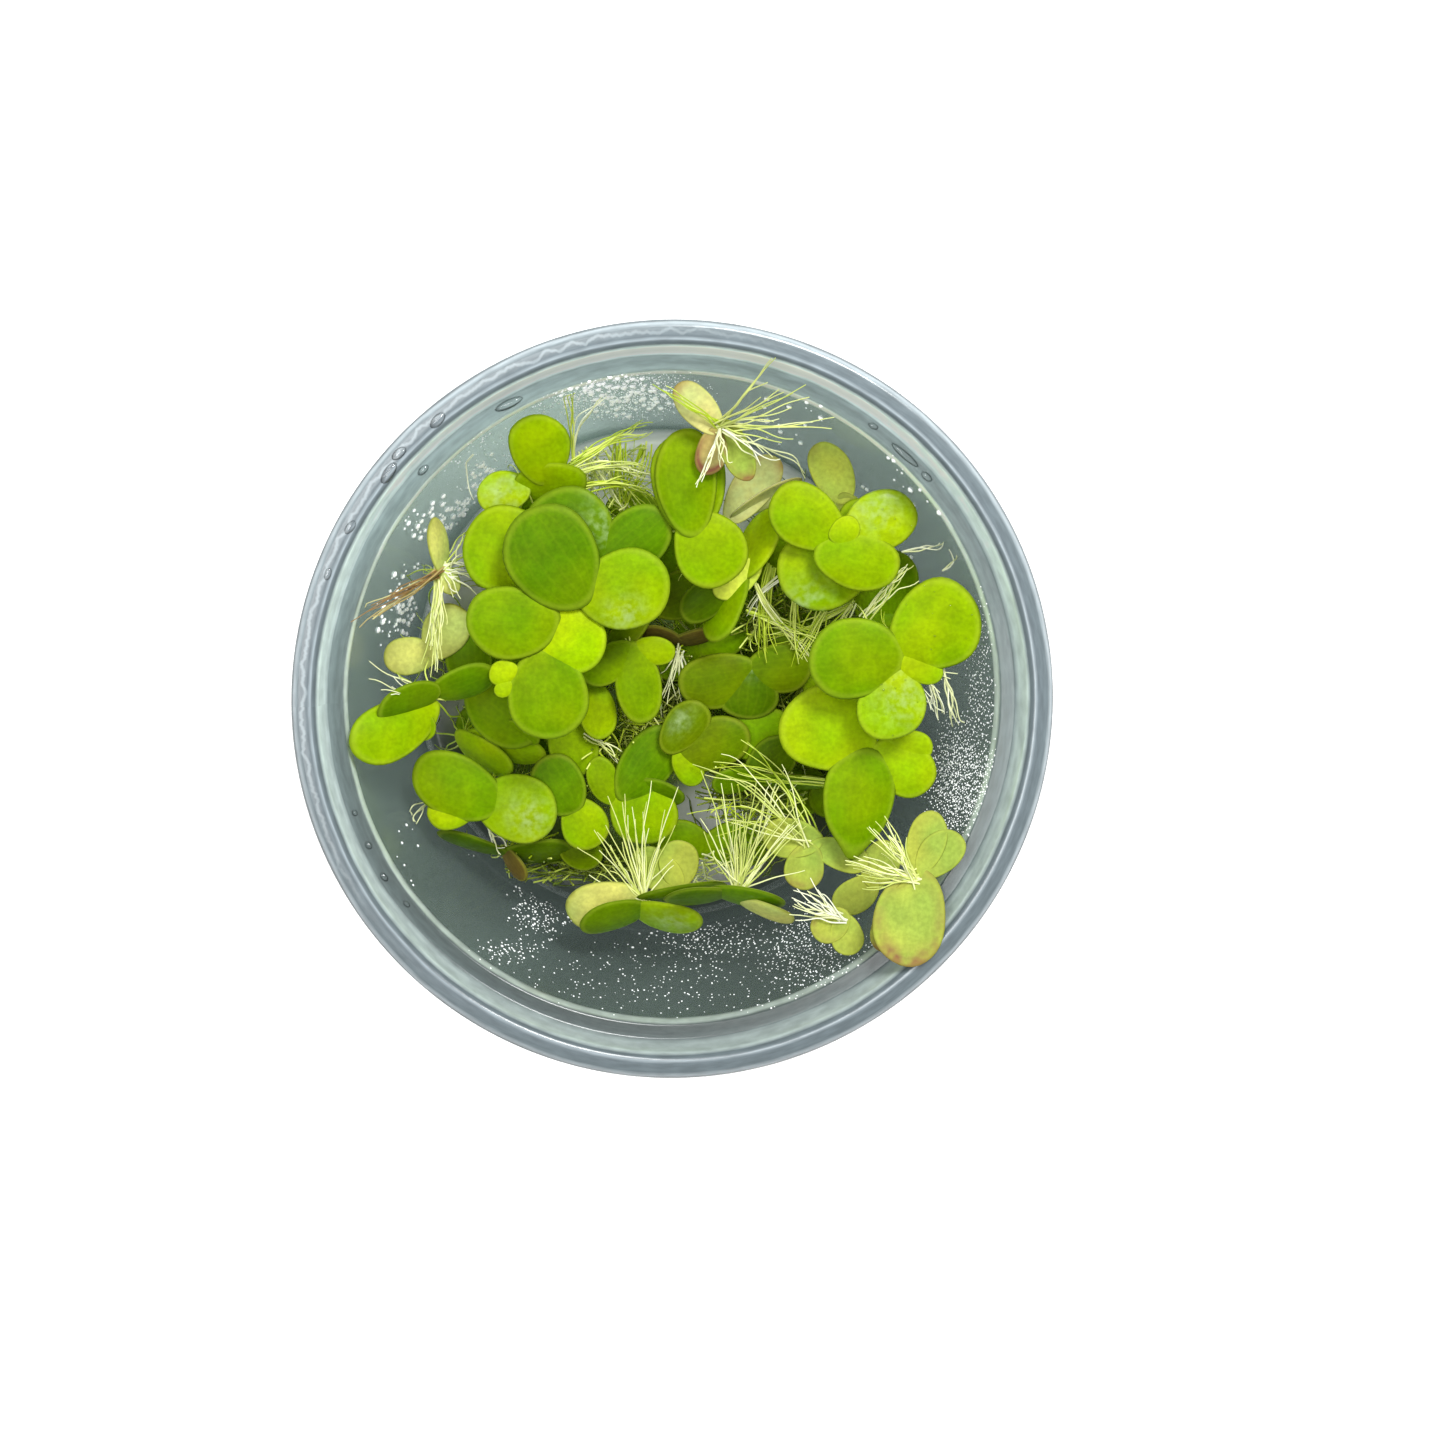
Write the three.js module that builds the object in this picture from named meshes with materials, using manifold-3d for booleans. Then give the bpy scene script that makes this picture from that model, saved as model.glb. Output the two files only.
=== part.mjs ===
// A small clear plastic cup heaped with giant duckweed, a floating pond plant.
// Millimetres, +Z up, origin at the middle of the cup's base.
// The cup is one moulded piece. Each plant is a colony of flat fronds grown from one node, with tufts of
// roots, and is one piece. The damp plants lie on the cup and on each other, with nothing holding them.

import * as THREE from "three";
import { mergeVertices } from "three/addons/utils/BufferGeometryUtils.js";
import Module from "manifold-3d";

const wasm = await Module();
wasm.setup();

// Driving dimensions of the cup
const rimRadius = 40;
const cupHeight = 34;
const wall = 0.7;
const floorRadius = 29;
const mouthRadius = 34.3;
const mouthHeight = 28;
const ledgeHeight = 30.3;
const ledgeRadius = 36.5;
const lipRadius = 37.4;
const skirtDepth = 4;
const footRecess = 0.6;
const cupSides = 32;

// Driving dimensions of the plants
const frondThickness = 0.5;
const frondDome = 0.05;
const tipFullness = 0.14;
const nodeOverlap = 0.7;
const nodeRadius = 0.7;
const tuftGirth = 0.6;
const hangingGirth = 1;
const shortestHang = 1.5;
const tuftSides = 4;
const tuftKnee = 0.35;
const tuftArch = 0.8;
const restGap = 0.32;

const degrees = Math.PI / 180;
const upright = new THREE.Vector3(0, 0, 1);

// A closed mesh as a solid that can be joined
function solid(geometry) {
  const bare = geometry.clone();
  for (const name of ["normal", "uv"]) bare.deleteAttribute(name);
  const merged = mergeVertices(bare, 1e-4);
  return new wasm.Manifold(
    new wasm.Mesh({
      numProp: 3,
      vertProperties: merged.attributes.position.array,
      triVerts: new Uint32Array(merged.index.array),
    }),
  );
}

function geometryOf(body) {
  const mesh = body.getMesh();
  return new THREE.BufferGeometry()
    .setAttribute("position", new THREE.BufferAttribute(new Float32Array(mesh.vertProperties), 3))
    .setIndex(new THREE.BufferAttribute(new Uint32Array(mesh.triVerts), 1));
}

const profileOf = (points) => points.map(([radius, height]) => new THREE.Vector2(radius, height));

// Cup: radius and height of the inner face, from the middle of the floor out to the rim
const innerFace = [
  [0, footRecess + wall],
  [floorRadius - 2.1, footRecess + wall],
  [floorRadius - 0.6, wall + 0.3],
  [floorRadius + 0.4, 2.4],
  [mouthRadius, mouthHeight],
  [mouthRadius + 0.5, ledgeHeight],
  [ledgeRadius, ledgeHeight],
  [lipRadius - 0.2, cupHeight - 0.7],
  [lipRadius + 0.4, cupHeight],
  [rimRadius - 0.6, cupHeight],
];

// The outer face, from the rim's skirt back down to the middle of the foot
const outerFace = [
  [rimRadius, cupHeight - 0.6],
  [rimRadius, cupHeight - skirtDepth],
  [rimRadius - wall, cupHeight - skirtDepth],
  [rimRadius - wall, cupHeight - wall - 0.2],
  [lipRadius + wall, cupHeight - wall - 0.2],
  [ledgeRadius + wall, ledgeHeight - wall],
  [mouthRadius + wall + 0.4, ledgeHeight - wall],
  [mouthRadius + wall, mouthHeight],
  [floorRadius + wall + 0.3, 1.6],
  [floorRadius - 0.3, 0],
  [floorRadius - 1.5, 0],
  [floorRadius - 2.4, footRecess],
  [0, footRecess],
];

const cup = new THREE.Mesh(
  new THREE.LatheGeometry(
    profileOf([...outerFace.toReversed(), ...innerFace.toReversed()]),
    cupSides,
  ).rotateX(90 * degrees),
  new THREE.MeshStandardMaterial({
    color: 0x9fb0b4,
    roughness: 0.25,
    metalness: 0,
    transparent: true,
    opacity: 0.5,
  }),
);
cup.name = "cup";

// A frond grows from a spot beside the plant's node. Turn is its compass direction from base to tip, rise
// lifts its tip and roll tips it about its length, in degrees. Lift raises its base above the node. Full is how
// much broader it is towards its tip than towards its base.
const frond = (
  turn,
  length,
  width,
  [x, y] = [0, 0],
  { rise = 0, roll = 0, lift = 0, full = tipFullness } = {},
) => ({
  turn,
  length,
  width,
  rise,
  roll,
  full,
  from: [x, y, lift],
});

// A tuft of roots that lies across the plant: how far and how high its tips reach from the node
const tuft = (turn, reach, climb) => ({ turn, reach, climb, girth: tuftGirth });

// A frond is a thin lens, with more sides the longer it is
function frondSolid({ turn, length, width, rise, roll, full, from }, faceDown) {
  const sides = Math.round(THREE.MathUtils.clamp(length, 6, 8));
  const blade = new THREE.LatheGeometry(profileOf([[0, -1], [1, 0], [0, 1]]), sides).rotateX(90 * degrees);
  const spots = blade.attributes.position;
  for (let i = 0; i < spots.count; i++) {
    const [along, across] = [spots.getX(i), spots.getY(i)];
    const dome = frondDome * length * (1 - along * along - across * across);
    const skin = (spots.getZ(i) * frondThickness) / 2;
    spots.setXYZ(
      i,
      (length / 2) * (1 + along) - (nodeOverlap / 2) * (1 - along),
      (width / 2) * across * (1 + full * along),
      faceDown ? -(dome + skin) : dome + skin,
    );
  }
  if (faceDown) blade.index.array.reverse();
  blade.rotateX(roll * degrees);
  blade.rotateY(-rise * degrees);
  blade.rotateZ(turn * degrees);
  blade.translate(...from);
  return solid(blade);
}

// A tuft is a thin spindle that leaves the node on the root side of the fronds and bends over to its tips
function tuftSolid({ turn, reach, climb, girth }, faceDown) {
  const tip = new THREE.Vector3(reach, 0, climb).applyAxisAngle(upright, turn * degrees);
  const knee = tip.clone().multiplyScalar(tuftKnee);
  knee.z = faceDown ? Math.max(knee.z, 0) + tuftArch : climb * 0.55 - 0.3;
  const path = new THREE.QuadraticBezierCurve3(new THREE.Vector3(), knee, tip);
  const profile = [[0, 0], [girth, 0.35], [girth * 0.75, 0.8], [0, 1]];
  const spindle = new THREE.LatheGeometry(profileOf(profile), tuftSides);
  const spots = spindle.attributes.position;
  const side = new THREE.Vector3(-Math.sin(turn * degrees), Math.cos(turn * degrees), 0);
  const front = new THREE.Vector3();
  for (let i = 0; i < spots.count; i++) {
    const along = spots.getY(i);
    front.crossVectors(side, path.getTangent(along)).normalize();
    const spot = path
      .getPoint(along)
      .addScaledVector(side, spots.getX(i))
      .addScaledVector(front, spots.getZ(i));
    spots.setXYZ(i, spot.x, spot.y, spot.z);
  }
  return solid(spindle);
}

// The heap: the height of whatever lies highest at each point of a fine grid. The cup's inner face comes first
const cell = 0.25;
const cells = Math.ceil((2 * (rimRadius + 4)) / cell);
const columnAt = (distance) => Math.floor(distance / cell + cells / 2);
const middleOf = (column) => (column + 0.5 - cells / 2) * cell;

function cupHeightAt(distance) {
  const radius = distance / Math.cos(Math.PI / cupSides);
  const after = innerFace.findIndex(([r]) => r > radius);
  if (after < 1) return radius <= rimRadius ? cupHeight : -Infinity;
  const [[r0, z0], [r1, z1]] = [innerFace[after - 1], innerFace[after]];
  return z0 + ((z1 - z0) * (radius - r0)) / (r1 - r0);
}

const heap = new Float32Array(cells * cells);
for (let row = 0; row < cells; row++)
  for (let column = 0; column < cells; column++)
    heap[row * cells + column] = cupHeightAt(Math.hypot(middleOf(row), middleOf(column)));

function heapAround(at, reach) {
  let height = -Infinity;
  for (let row = -reach; row <= reach; row++)
    for (let column = -reach; column <= reach; column++)
      height = Math.max(height, heap[at + row * cells + column]);
  return height;
}

// The lowest and the highest point of a body over each cell of the grid
function shadowOf(body, [x, y]) {
  const lowest = new Map();
  const highest = new Map();
  const note = (at, z) => {
    lowest.set(at, Math.min(z, lowest.get(at) ?? Infinity));
    highest.set(at, Math.max(z, highest.get(at) ?? -Infinity));
  };
  const { vertProperties, triVerts } = body.getMesh();
  const corner = (i) => [vertProperties[3 * i] + x, vertProperties[3 * i + 1] + y, vertProperties[3 * i + 2]];
  for (let t = 0; t < triVerts.length; t += 3) {
    const [a, b, c] = [corner(triVerts[t]), corner(triVerts[t + 1]), corner(triVerts[t + 2])];
    for (const [cx, cy, cz] of [a, b, c]) note(columnAt(cy) * cells + columnAt(cx), cz);
    const area = (b[0] - a[0]) * (c[1] - a[1]) - (b[1] - a[1]) * (c[0] - a[0]);
    if (Math.abs(area) < 1e-6) continue;
    const [left, low] = [0, 1].map((k) => columnAt(Math.min(a[k], b[k], c[k])));
    const [right, high] = [0, 1].map((k) => columnAt(Math.max(a[k], b[k], c[k])));
    for (let row = low; row <= high; row++)
      for (let column = left; column <= right; column++) {
        const [px, py] = [middleOf(column) - a[0], middleOf(row) - a[1]];
        const toB = (px * (c[1] - a[1]) - py * (c[0] - a[0])) / area;
        const toC = ((b[0] - a[0]) * py - (b[1] - a[1]) * px) / area;
        if (toB < 0 || toC < 0 || toB + toC > 1) continue;
        note(row * cells + column, a[2] + toB * (b[2] - a[2]) + toC * (c[2] - a[2]));
      }
  }
  return { lowest, highest };
}

// The height at which a body comes to rest on the heap
function restingHeight({ lowest }) {
  let height = -Infinity;
  for (const [at, z] of lowest) height = Math.max(height, heapAround(at, 1) - z);
  return height + restGap;
}

// A plant at x, y. With a height it stands on hanging roots that hold its node so high, if they find room.
// Otherwise it lies on its fronds.
function plant(name, [x, y, height], green, fronds, tufts = [], { faceDown = false, hang = [90, 1] } = {}) {
  let body = solid(new THREE.OctahedronGeometry(nodeRadius, 0));
  for (const each of fronds) body = body.add(frondSolid(each, faceDown));
  for (const each of tufts) body = body.add(tuftSolid(each, faceDown));
  let shadow = shadowOf(body, [x, y]);
  const [turn, reach] = hang;
  const tipX = x + reach * Math.cos(turn * degrees);
  const tipY = y + reach * Math.sin(turn * degrees);
  const target = Math.max(height ?? 0, restingHeight(shadow));
  let drop = height ? target - heapAround(columnAt(tipY) * cells + columnAt(tipX), 3) : 0;
  for (let tries = 0; tries < 3 && drop > shortestHang; tries++) {
    const hanging = tuftSolid({ turn, reach, climb: -drop, girth: hangingGirth }, false);
    const rooted = body.add(hanging);
    const rootedShadow = shadowOf(rooted, [x, y]);
    const excess = restingHeight(rootedShadow) - target;
    drop -= excess;
    if (tries < 2 || excess > 1) continue;
    body = rooted;
    shadow = rootedShadow;
  }
  const level = restingHeight(shadow);
  for (const [at, z] of shadow.highest) heap[at] = Math.max(heap[at], z + level);
  const mesh = new THREE.Mesh(
    geometryOf(body),
    new THREE.MeshStandardMaterial({ color: green, roughness: 0.4, metalness: 0 }),
  );
  mesh.name = name;
  mesh.position.set(x, y, level);
  return mesh;
}

const bright = 0xa0c808;
const mid = 0x86aa06;
const dark = 0x6a9406;
const olive = 0x829a20;
const pale = 0xcfd67e;
const faceDown = true;

// Plants at the bottom of the heap, standing on the floor on their roots
const bottomPlants = [
  plant("bottom_plant_1", [-15, 12, 9], mid, [frond(150, 8, 7), frond(20, 7, 5.5)]),
  plant("bottom_plant_2", [-3, 14, 9], mid, [frond(100, 8, 7), frond(-30, 7, 5.5)]),
  plant("bottom_plant_3", [12, 12, 9], mid, [frond(60, 8, 7), frond(190, 7, 5.5)]),
  plant("bottom_plant_4", [20, 2, 9], mid, [frond(20, 8, 7), frond(150, 7, 5.5)]),
  plant("bottom_plant_5", [5, 2, 9], mid, [frond(-30, 8, 7), frond(110, 7, 5.5)]),
  plant("bottom_plant_6", [-8, 2, 9], mid, [frond(200, 8, 7), frond(70, 7, 5.5)]),
  plant("bottom_plant_7", [-16, -7, 9], mid, [frond(160, 8, 7), frond(10, 7, 5.5)]),
  plant("bottom_plant_8", [12, -11, 9], mid, [frond(-20, 7, 6), frond(130, 7, 5.5)]),
  plant("bottom_plant_9", [22, -12, 10], mid, [frond(90, 7, 6), frond(200, 6, 5)]),
];

// Plants in the middle of the heap, mostly hidden
const middlePlants = [
  plant("middle_plant_1", [-14, 15, 16], mid, [frond(120, 8, 7), frond(-10, 8, 5.5)]),
  plant("middle_plant_2", [-15, 4, 15], mid, [frond(170, 8, 7), frond(60, 7, 5.5)]),
  plant("middle_plant_3", [0, 15, 16], mid, [frond(45, 7, 6), frond(-120, 7, 5.5)]),
  plant("middle_plant_4", [14, 16, 16], mid, [frond(30, 8, 7), frond(200, 7, 5.5)]),
  plant("middle_plant_5", [22, 8, 16], mid, [frond(60, 8, 7), frond(-40, 7, 5.5)]),
  plant("middle_plant_6", [20, -7, 15], mid, [frond(0, 7, 6), frond(150, 7, 5.5)]),
  plant("middle_plant_7", [12, 7, 13], mid, [frond(30, 8, 6.5), frond(170, 7, 5.5)]),
  plant("middle_plant_8", [15.5, 1, 13], mid, [frond(-20, 8, 6.5), frond(110, 7, 5.5)]),
  plant("middle_plant_9", [13.5, -4.5, 12.5], mid, [frond(190, 7, 6), frond(20, 7, 5.5)]),
  plant("middle_plant_10", [3.5, 4.5, 12.5], mid, [frond(20, 6, 5), frond(200, 6, 5.5)]),
  plant("middle_plant_11", [-8, -8, 12.5], mid, [frond(-35, 8, 6), frond(140, 7, 5.5)]),
  plant("middle_plant_12", [4.5, -18.5, 12], mid, [frond(5, 7, 5.5), frond(170, 6.5, 5)]),
];

// Plants low in the heap that show in its gaps and at its edges
const lowPlants = [
  plant("low_left_edge", [-18.2, -18.6, 13], dark, [
    frond(163, 8, 4, [0, 0], { roll: -60 }),
    frond(-60, 4, 3, [0.2, 0.1], { roll: 50 }),
    frond(2, 7.5, 5, [0.3, 0], { roll: 50 }),
    frond(-12, 4.5, 3.5, [6.6, 0.2]),
  ]),
  plant("low_left_pair", [-22.6, -5.2, 15], mid, [
    frond(-38, 7, 5, [-0.3, 0], { roll: 45 }),
    frond(-17, 9, 5.4, [0.4, 0], { roll: 45 }),
  ]),
  plant("low_left_inner", [-12, -4.2, 15.5], mid, [frond(-60, 6, 5.5), frond(150, 6, 5)]),
  plant("low_left_yellow", [-10.5, -13, 15], bright, [
    frond(-65, 5.3, 5.4),
    frond(120, 6.8, 6, [0, -0.4], { lift: 0.3 }),
  ]),
  plant("low_middle_brown", [1.1, 4.4, 15], olive, [
    frond(165, 4.5, 4, [0, 1], { roll: -60 }),
    frond(10, 4.2, 4, [0, 1], { roll: 60 }),
  ], [tuft(-105, 5.5, -1)]),
  plant("low_middle_olive", [-2, 8.5, 16], olive, [
    frond(30, 6.3, 5.3, [0.5, 0.5]),
    frond(-136, 5.8, 3.4, [-0.5, -0.3], { roll: 30 }),
  ]),
  plant("low_middle_pair", [-4.4, -10.7, 16], bright, [
    frond(-72, 7.6, 7.4, [0.6, 0.6]),
    frond(52, 9.5, 5.8, [-0.8, -1.2], { lift: 0.3 }),
    frond(112, 5, 3.6, [-1.8, -1.6]),
    frond(-20, 5.2, 4, [1.3, 0], { roll: 45 }),
  ]),
  plant("low_right_olive", [9.2, 2, 16.5], olive, [
    frond(192, 8.2, 6.2),
    frond(5, 6.8, 5.8),
    frond(-98, 5.4, 7),
  ]),
  plant("low_right_narrow", [9.3, -10, 14], dark, [
    frond(-4, 8.5, 5, [0, 0], { roll: 65 }),
    frond(42, 6, 5),
    frond(190, 4.5, 3.5, [0, 0], { roll: -25 }),
  ]),
  plant("low_pale_middle", [1, -21.5, 18], pale, [
    frond(85, 4.8, 4.5),
    frond(150, 6, 4.5),
  ], [], { faceDown }),
  plant("left_edge_pair", [-19.7, -12.2, 17], bright, [
    frond(-20, 8.6, 7.5, [-0.9, 0.4]),
    frond(155, 10, 7.2, [0.8, -0.3], { lift: 0.2 }),
    frond(200, 5.4, 4.2, [-1.8, -0.3]),
  ]),
  plant("centre_pair", [1.2, -7, 17], olive, [
    frond(50, 6.2, 4.7, [-1.2, 0.6], { lift: 0.3 }),
    frond(20, 8.4, 5.7, [-0.1, -0.5]),
    frond(-60, 4.2, 3.2),
  ]),
  plant("centre_small", [-8.2, 0.3, 17.5], bright, [frond(-80, 5.8, 4.2), frond(100, 5, 4)]),
  plant("centre_left", [-4.3, 4.8, 19], mid, [
    frond(-80, 8.4, 5.2),
    frond(215, 6.3, 4.2),
    frond(-10, 4.2, 3.2, [0.8, 0]),
  ]),
  plant("left_under", [-21.5, 0.5, 18], mid, [
    frond(-40, 9.2, 6.8),
    frond(95, 6, 5.2),
    frond(-30, 4, 3, [3.8, -4.2], { roll: 45 }),
  ]),
  plant("centre_strip", [7.9, 12.8, 18.5], dark, [
    frond(63, 8, 6, [0, 0], { roll: -55 }),
    frond(-117, 8, 6, [0, 0], { roll: 55 }),
    frond(215, 6.3, 4.2, [-1.4, -1]),
    frond(215, 5.8, 3.4, [1.6, 1.2], { lift: 0.6 }),
  ]),
];

// Plants round the side of the cup
const sidePlants = [
  plant("left_wall_old", [-25.8, 4.3, 17], pale, [frond(60, 6, 5), frond(188, 5.4, 4.2)]),
  plant("left_wall_rooted", [-24.7, 13.5, 19.5], mid, [
    frond(98, 5.7, 4.5, [0, 0], { roll: 62 }),
    frond(-60, 3, 2.5),
  ], [tuft(-97, 10.5, 1), tuft(-15, 3.6, 1), tuft(209, 11.2, 11)]),
  plant("left_wall_pair", [-25.5, 0, 24], bright, [
    frond(203, 10.8, 6.2, [0, -1], { rise: 29 }),
    frond(197, 7.2, 4.4, [0.3, 0.8], { rise: 27, roll: -35, lift: 0.6 }),
    frond(19, 7.2, 4.6, [0, 0.6], { roll: 38 }),
    frond(-75, 2.9, 2.8, [-1.6, -1.7], { lift: 0.6 }),
  ], [tuft(157, 8.6, 5)]),
  plant("top_left_wall", [-15.6, 22.2, 21.5], bright, [
    frond(0, 7.2, 5.8, [-0.6, 0.7], { roll: 40 }),
    frond(107, 7.6, 6.6, [2.4, 1.2], { rise: 25, lift: 0.6 }),
    frond(190, 5.2, 4.5),
  ]),
  plant("bottom_right_low", [22.3, -21.2, 17], pale, [frond(70, 5, 4.2), frond(215, 5, 4)], [], { faceDown }),
  plant("bottom_right_round", [15.1, -16.6, 19.5], pale, [
    frond(-98, 4.7, 4.4, [0, -0.6]),
    frond(175, 6, 4.5, [1, 0.3]),
    frond(-20, 6.2, 3.6, [0.9, -0.4]),
  ], [tuft(146, 10.5, 1.5)], { faceDown }),
  plant("bottom_right_wall", [18.1, -23.8], pale, [
    frond(205, 3.9, 3.8, [0.3, 0.1]),
    frond(-70, 4.1, 3.6),
  ], [tuft(145, 7.2, 0.5)], { faceDown }),
  plant("top_wet_plant", [6.5, 19.1, 21], pale, [
    frond(50, 8.3, 4.8, [0, 0], { roll: 15 }),
    frond(28, 8.2, 4, [0.6, 0.2], { roll: 60 }),
  ], [], { faceDown }),
  plant("top_olive_plant", [18.9, 21], olive, [frond(115, 6.7, 4.5), frond(-60, 5, 4)], [], { faceDown }),
];

// Plants on top of the heap
const topPlants = [
  plant("large_left_lower", [-13.5, 15.2, 22.5], bright, [frond(175, 8.9, 9.2), frond(-48, 7.4, 6.8)]),
  plant("large_back", [-7.3, 14.2, 22.5], dark, [frond(137, 10, 9), frond(38, 8.6, 6.6)]),
  plant("left_trio", [-12.95, 6.5, 24], mid, [
    frond(178, 9.6, 7.7, [0.5, 1.7], { lift: 0.4 }),
    frond(-28, 7.3, 6.8, [-0.9, 1.3]),
    frond(-82, 9.1, 8.9, [-0.8, -1.7]),
    frond(190, 2.7, 2.7, [-4, -3.6]),
    frond(200, 1.9, 1.8, [-4.3, -5.2]),
  ]),
  plant("large_left", [-9.4, 10.7, 26], dark, [
    frond(15, 9.2, 8.8),
    frond(125, 11.3, 9.8, [0, 0], { lift: 0.3 }),
    frond(15, 2, 2, [6.5, 1.9]),
  ]),
  plant("right_lower_trio", [21.65, -6.2, 23.5], bright, [
    frond(153, 10.4, 9.3, [-0.2, -0.3]),
    frond(-97, 10.8, 7.8, [-0.6, -0.2], { lift: 0.3, full: -0.1 }),
    frond(-30, 7.3, 5.9, [0.7, -0.1]),
    frond(-10, 4.5, 3.6, [2.5, 0.8]),
  ]),
  plant("right_upper_trio", [23.8, 5, 26.5], bright, [
    frond(32, 9.6, 9.6, [0.3, 0.5], { rise: 5 }),
    frond(190, 9.5, 8.9, [0.3, -0.2], { lift: 0.2 }),
    frond(-18, 4.8, 3.4, [0.6, -1.2]),
    frond(-93, 7.8, 7.4, [-0.3, -1.9]),
  ], [tuft(-37, 8, -0.5)]),
  plant("top_right_lower", [21.6, 15.4, 23], bright, [frond(199, 10.5, 8.8), frond(110, 6, 5)]),
  plant("top_right_trio", [18.4, 17, 25], bright, [
    frond(146, 8.4, 6.8, [-0.4, 0.1]),
    frond(22, 8, 6.4, [0.5, 0.1]),
    frond(-12, 9, 6, [-2.6, -1.6], { lift: 0.3 }),
    frond(30, 3, 2.9, [-0.9, 0.2], { lift: 0.5 }),
  ]),
  plant("top_middle_pair", [2, 18.2, 25], bright, [
    frond(-60, 8.2, 7.6, [-0.1, 1]),
    frond(95, 11.3, 6.4, [0.2, -0.6], { lift: 0.4 }),
    frond(92, 10.4, 8, [0, -0.3], { lift: -0.3 }),
  ]),
  plant("tipped_left", [-3, -23.4], dark, [
    frond(189, 7.9, 5.9, [-0.7, 0.4], { roll: -18 }),
    frond(197, 7.4, 5.2, [0.1, -0.7], { roll: -44 }),
    frond(8, 9.5, 5.5, [0, 0.4], { roll: 64 }),
    frond(-16, 7.4, 5.5, [-0.5, -0.7], { roll: 45 }),
  ], [tuft(127, 10, 1.5), tuft(102, 12.5, 2), tuft(78, 8.5, 1)]),
  plant("tipped_right", [7.3, -21.8], dark, [
    frond(185, 7, 5, [-1.2, 0], { roll: -60 }),
    frond(-12, 8, 5.5, [-2.6, 0.2], { roll: 60 }),
    frond(-22, 6, 4, [0.7, -1], { roll: 60 }),
  ], [tuft(105, 9, 1.5), tuft(85, 15, 3), tuft(58, 11.5, 1.5)]),
  plant("large_bottom_right", [25.5, -18.9], pale, [
    frond(-98, 10, 7.6, [0.2, 0.6], { rise: 11, roll: 8 }),
    frond(-118, 8, 3.8, [-0.4, -0.6]),
    frond(72, 6.6, 4.3, [0.1, 0.9]),
    frond(40, 5.6, 4.4, [0.7, 0.9]),
  ], [tuft(122, 7.5, 0.5), tuft(172, 8, -1)], { faceDown }),
  plant("upturned_top", [4.9, 29], pale, [
    frond(132, 6.2, 3.8, [-0.4, -0.3], { rise: 6 }),
    frond(-103, 4.6, 3.3, [-0.5, -0.8], { rise: -12 }),
    frond(-66, 6.4, 3.2, [0.7, 0], { rise: -8 }),
  ], [tuft(54, 11.6, 7), tuft(2, 12, 2), tuft(31, 11, 6), tuft(146, 10, 3)], { faceDown }),
];

const model = new THREE.Group();
model.add(cup, ...bottomPlants, ...middlePlants, ...lowPlants, ...sidePlants, ...topPlants);

export default model;
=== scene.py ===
"""A small clear plastic cup heaped with damp giant duckweed, looked down on from above."""

import math
from random import Random

import bpy
import numpy as np
from mathutils import Matrix, Vector


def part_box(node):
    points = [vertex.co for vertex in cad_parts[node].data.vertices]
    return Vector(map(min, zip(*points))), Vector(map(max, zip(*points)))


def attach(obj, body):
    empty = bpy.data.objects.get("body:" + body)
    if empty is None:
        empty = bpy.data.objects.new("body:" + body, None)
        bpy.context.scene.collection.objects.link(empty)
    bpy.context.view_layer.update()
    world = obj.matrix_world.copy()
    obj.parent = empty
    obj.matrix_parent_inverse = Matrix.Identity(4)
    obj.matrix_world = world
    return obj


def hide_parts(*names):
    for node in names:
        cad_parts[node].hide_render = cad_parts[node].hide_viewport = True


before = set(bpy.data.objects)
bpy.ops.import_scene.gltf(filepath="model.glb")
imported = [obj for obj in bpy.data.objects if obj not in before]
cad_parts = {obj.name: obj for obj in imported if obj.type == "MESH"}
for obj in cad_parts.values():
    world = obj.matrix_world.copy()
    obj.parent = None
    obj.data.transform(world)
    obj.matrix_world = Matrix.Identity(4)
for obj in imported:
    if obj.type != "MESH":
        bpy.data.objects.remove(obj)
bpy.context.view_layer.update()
mm = 0.001

# Camera
# A phone held a hand's length above the cup. Its lens is over the cup's back left edge, and it looks down
# past the middle of the cup, which lands left of the middle of the picture.
rim_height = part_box("cup")[1].z
lens_height = 300 * mm
under_lens = Vector((-14.3 * mm, 30.7 * mm, rim_height))
aim = Vector((4.9 * mm, -1.9 * mm, rim_height))
picture_width = 151.4 * mm

eye = under_lens + Vector((0, 0, lens_height))
backward = (eye - aim).normalized()
rightward = Vector((0, 1, 0)).cross(backward).normalized()
camera = bpy.data.objects.new("camera", bpy.data.cameras.new("camera"))
camera.data.sensor_width = 36
camera.data.lens = camera.data.sensor_width * (eye - aim).length / picture_width
camera.data.clip_start = 10 * mm
turned = Matrix((rightward, backward.cross(rightward), backward)).transposed().to_4x4()
camera.matrix_world = Matrix.Translation(eye) @ turned
bpy.context.scene.collection.objects.link(camera)
bpy.context.scene.camera = camera


def lens_depth(z):
    """How far height z lies below the lens, as a share of how far the rim's plane does."""
    return 1 + (rim_height / mm - z) / (lens_height / mm)


def seen_at(x, y, z):
    """The place at height z that the camera sees where the rim's plane has x, y. All in millimetres."""
    depth = lens_depth(z)
    nadir_x, nadir_y = under_lens.x / mm, under_lens.y / mm
    return nadir_x + (x - nadir_x) * depth, nadir_y + (y - nadir_y) * depth, z


# Table and light
# A plain white table top in a bright white room. A soft window high up behind the cup and a ceiling light
# give the wet fronds and the cup's rings their sheen, along with the sheen and highlights painted on them.
def node_adder(tree):
    """A function that adds a node to a tree, with its settings, and its sockets' values or links."""

    def add(kind, sockets=(), **settings):
        added = tree.nodes.new(kind)
        for setting, value in settings.items():
            setattr(added, setting, value)
        for socket, value in dict(sockets).items():
            if isinstance(value, bpy.types.NodeSocket):
                tree.links.new(value, added.inputs[socket])
            else:
                added.inputs[socket].default_value = value
        return added

    return add


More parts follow.
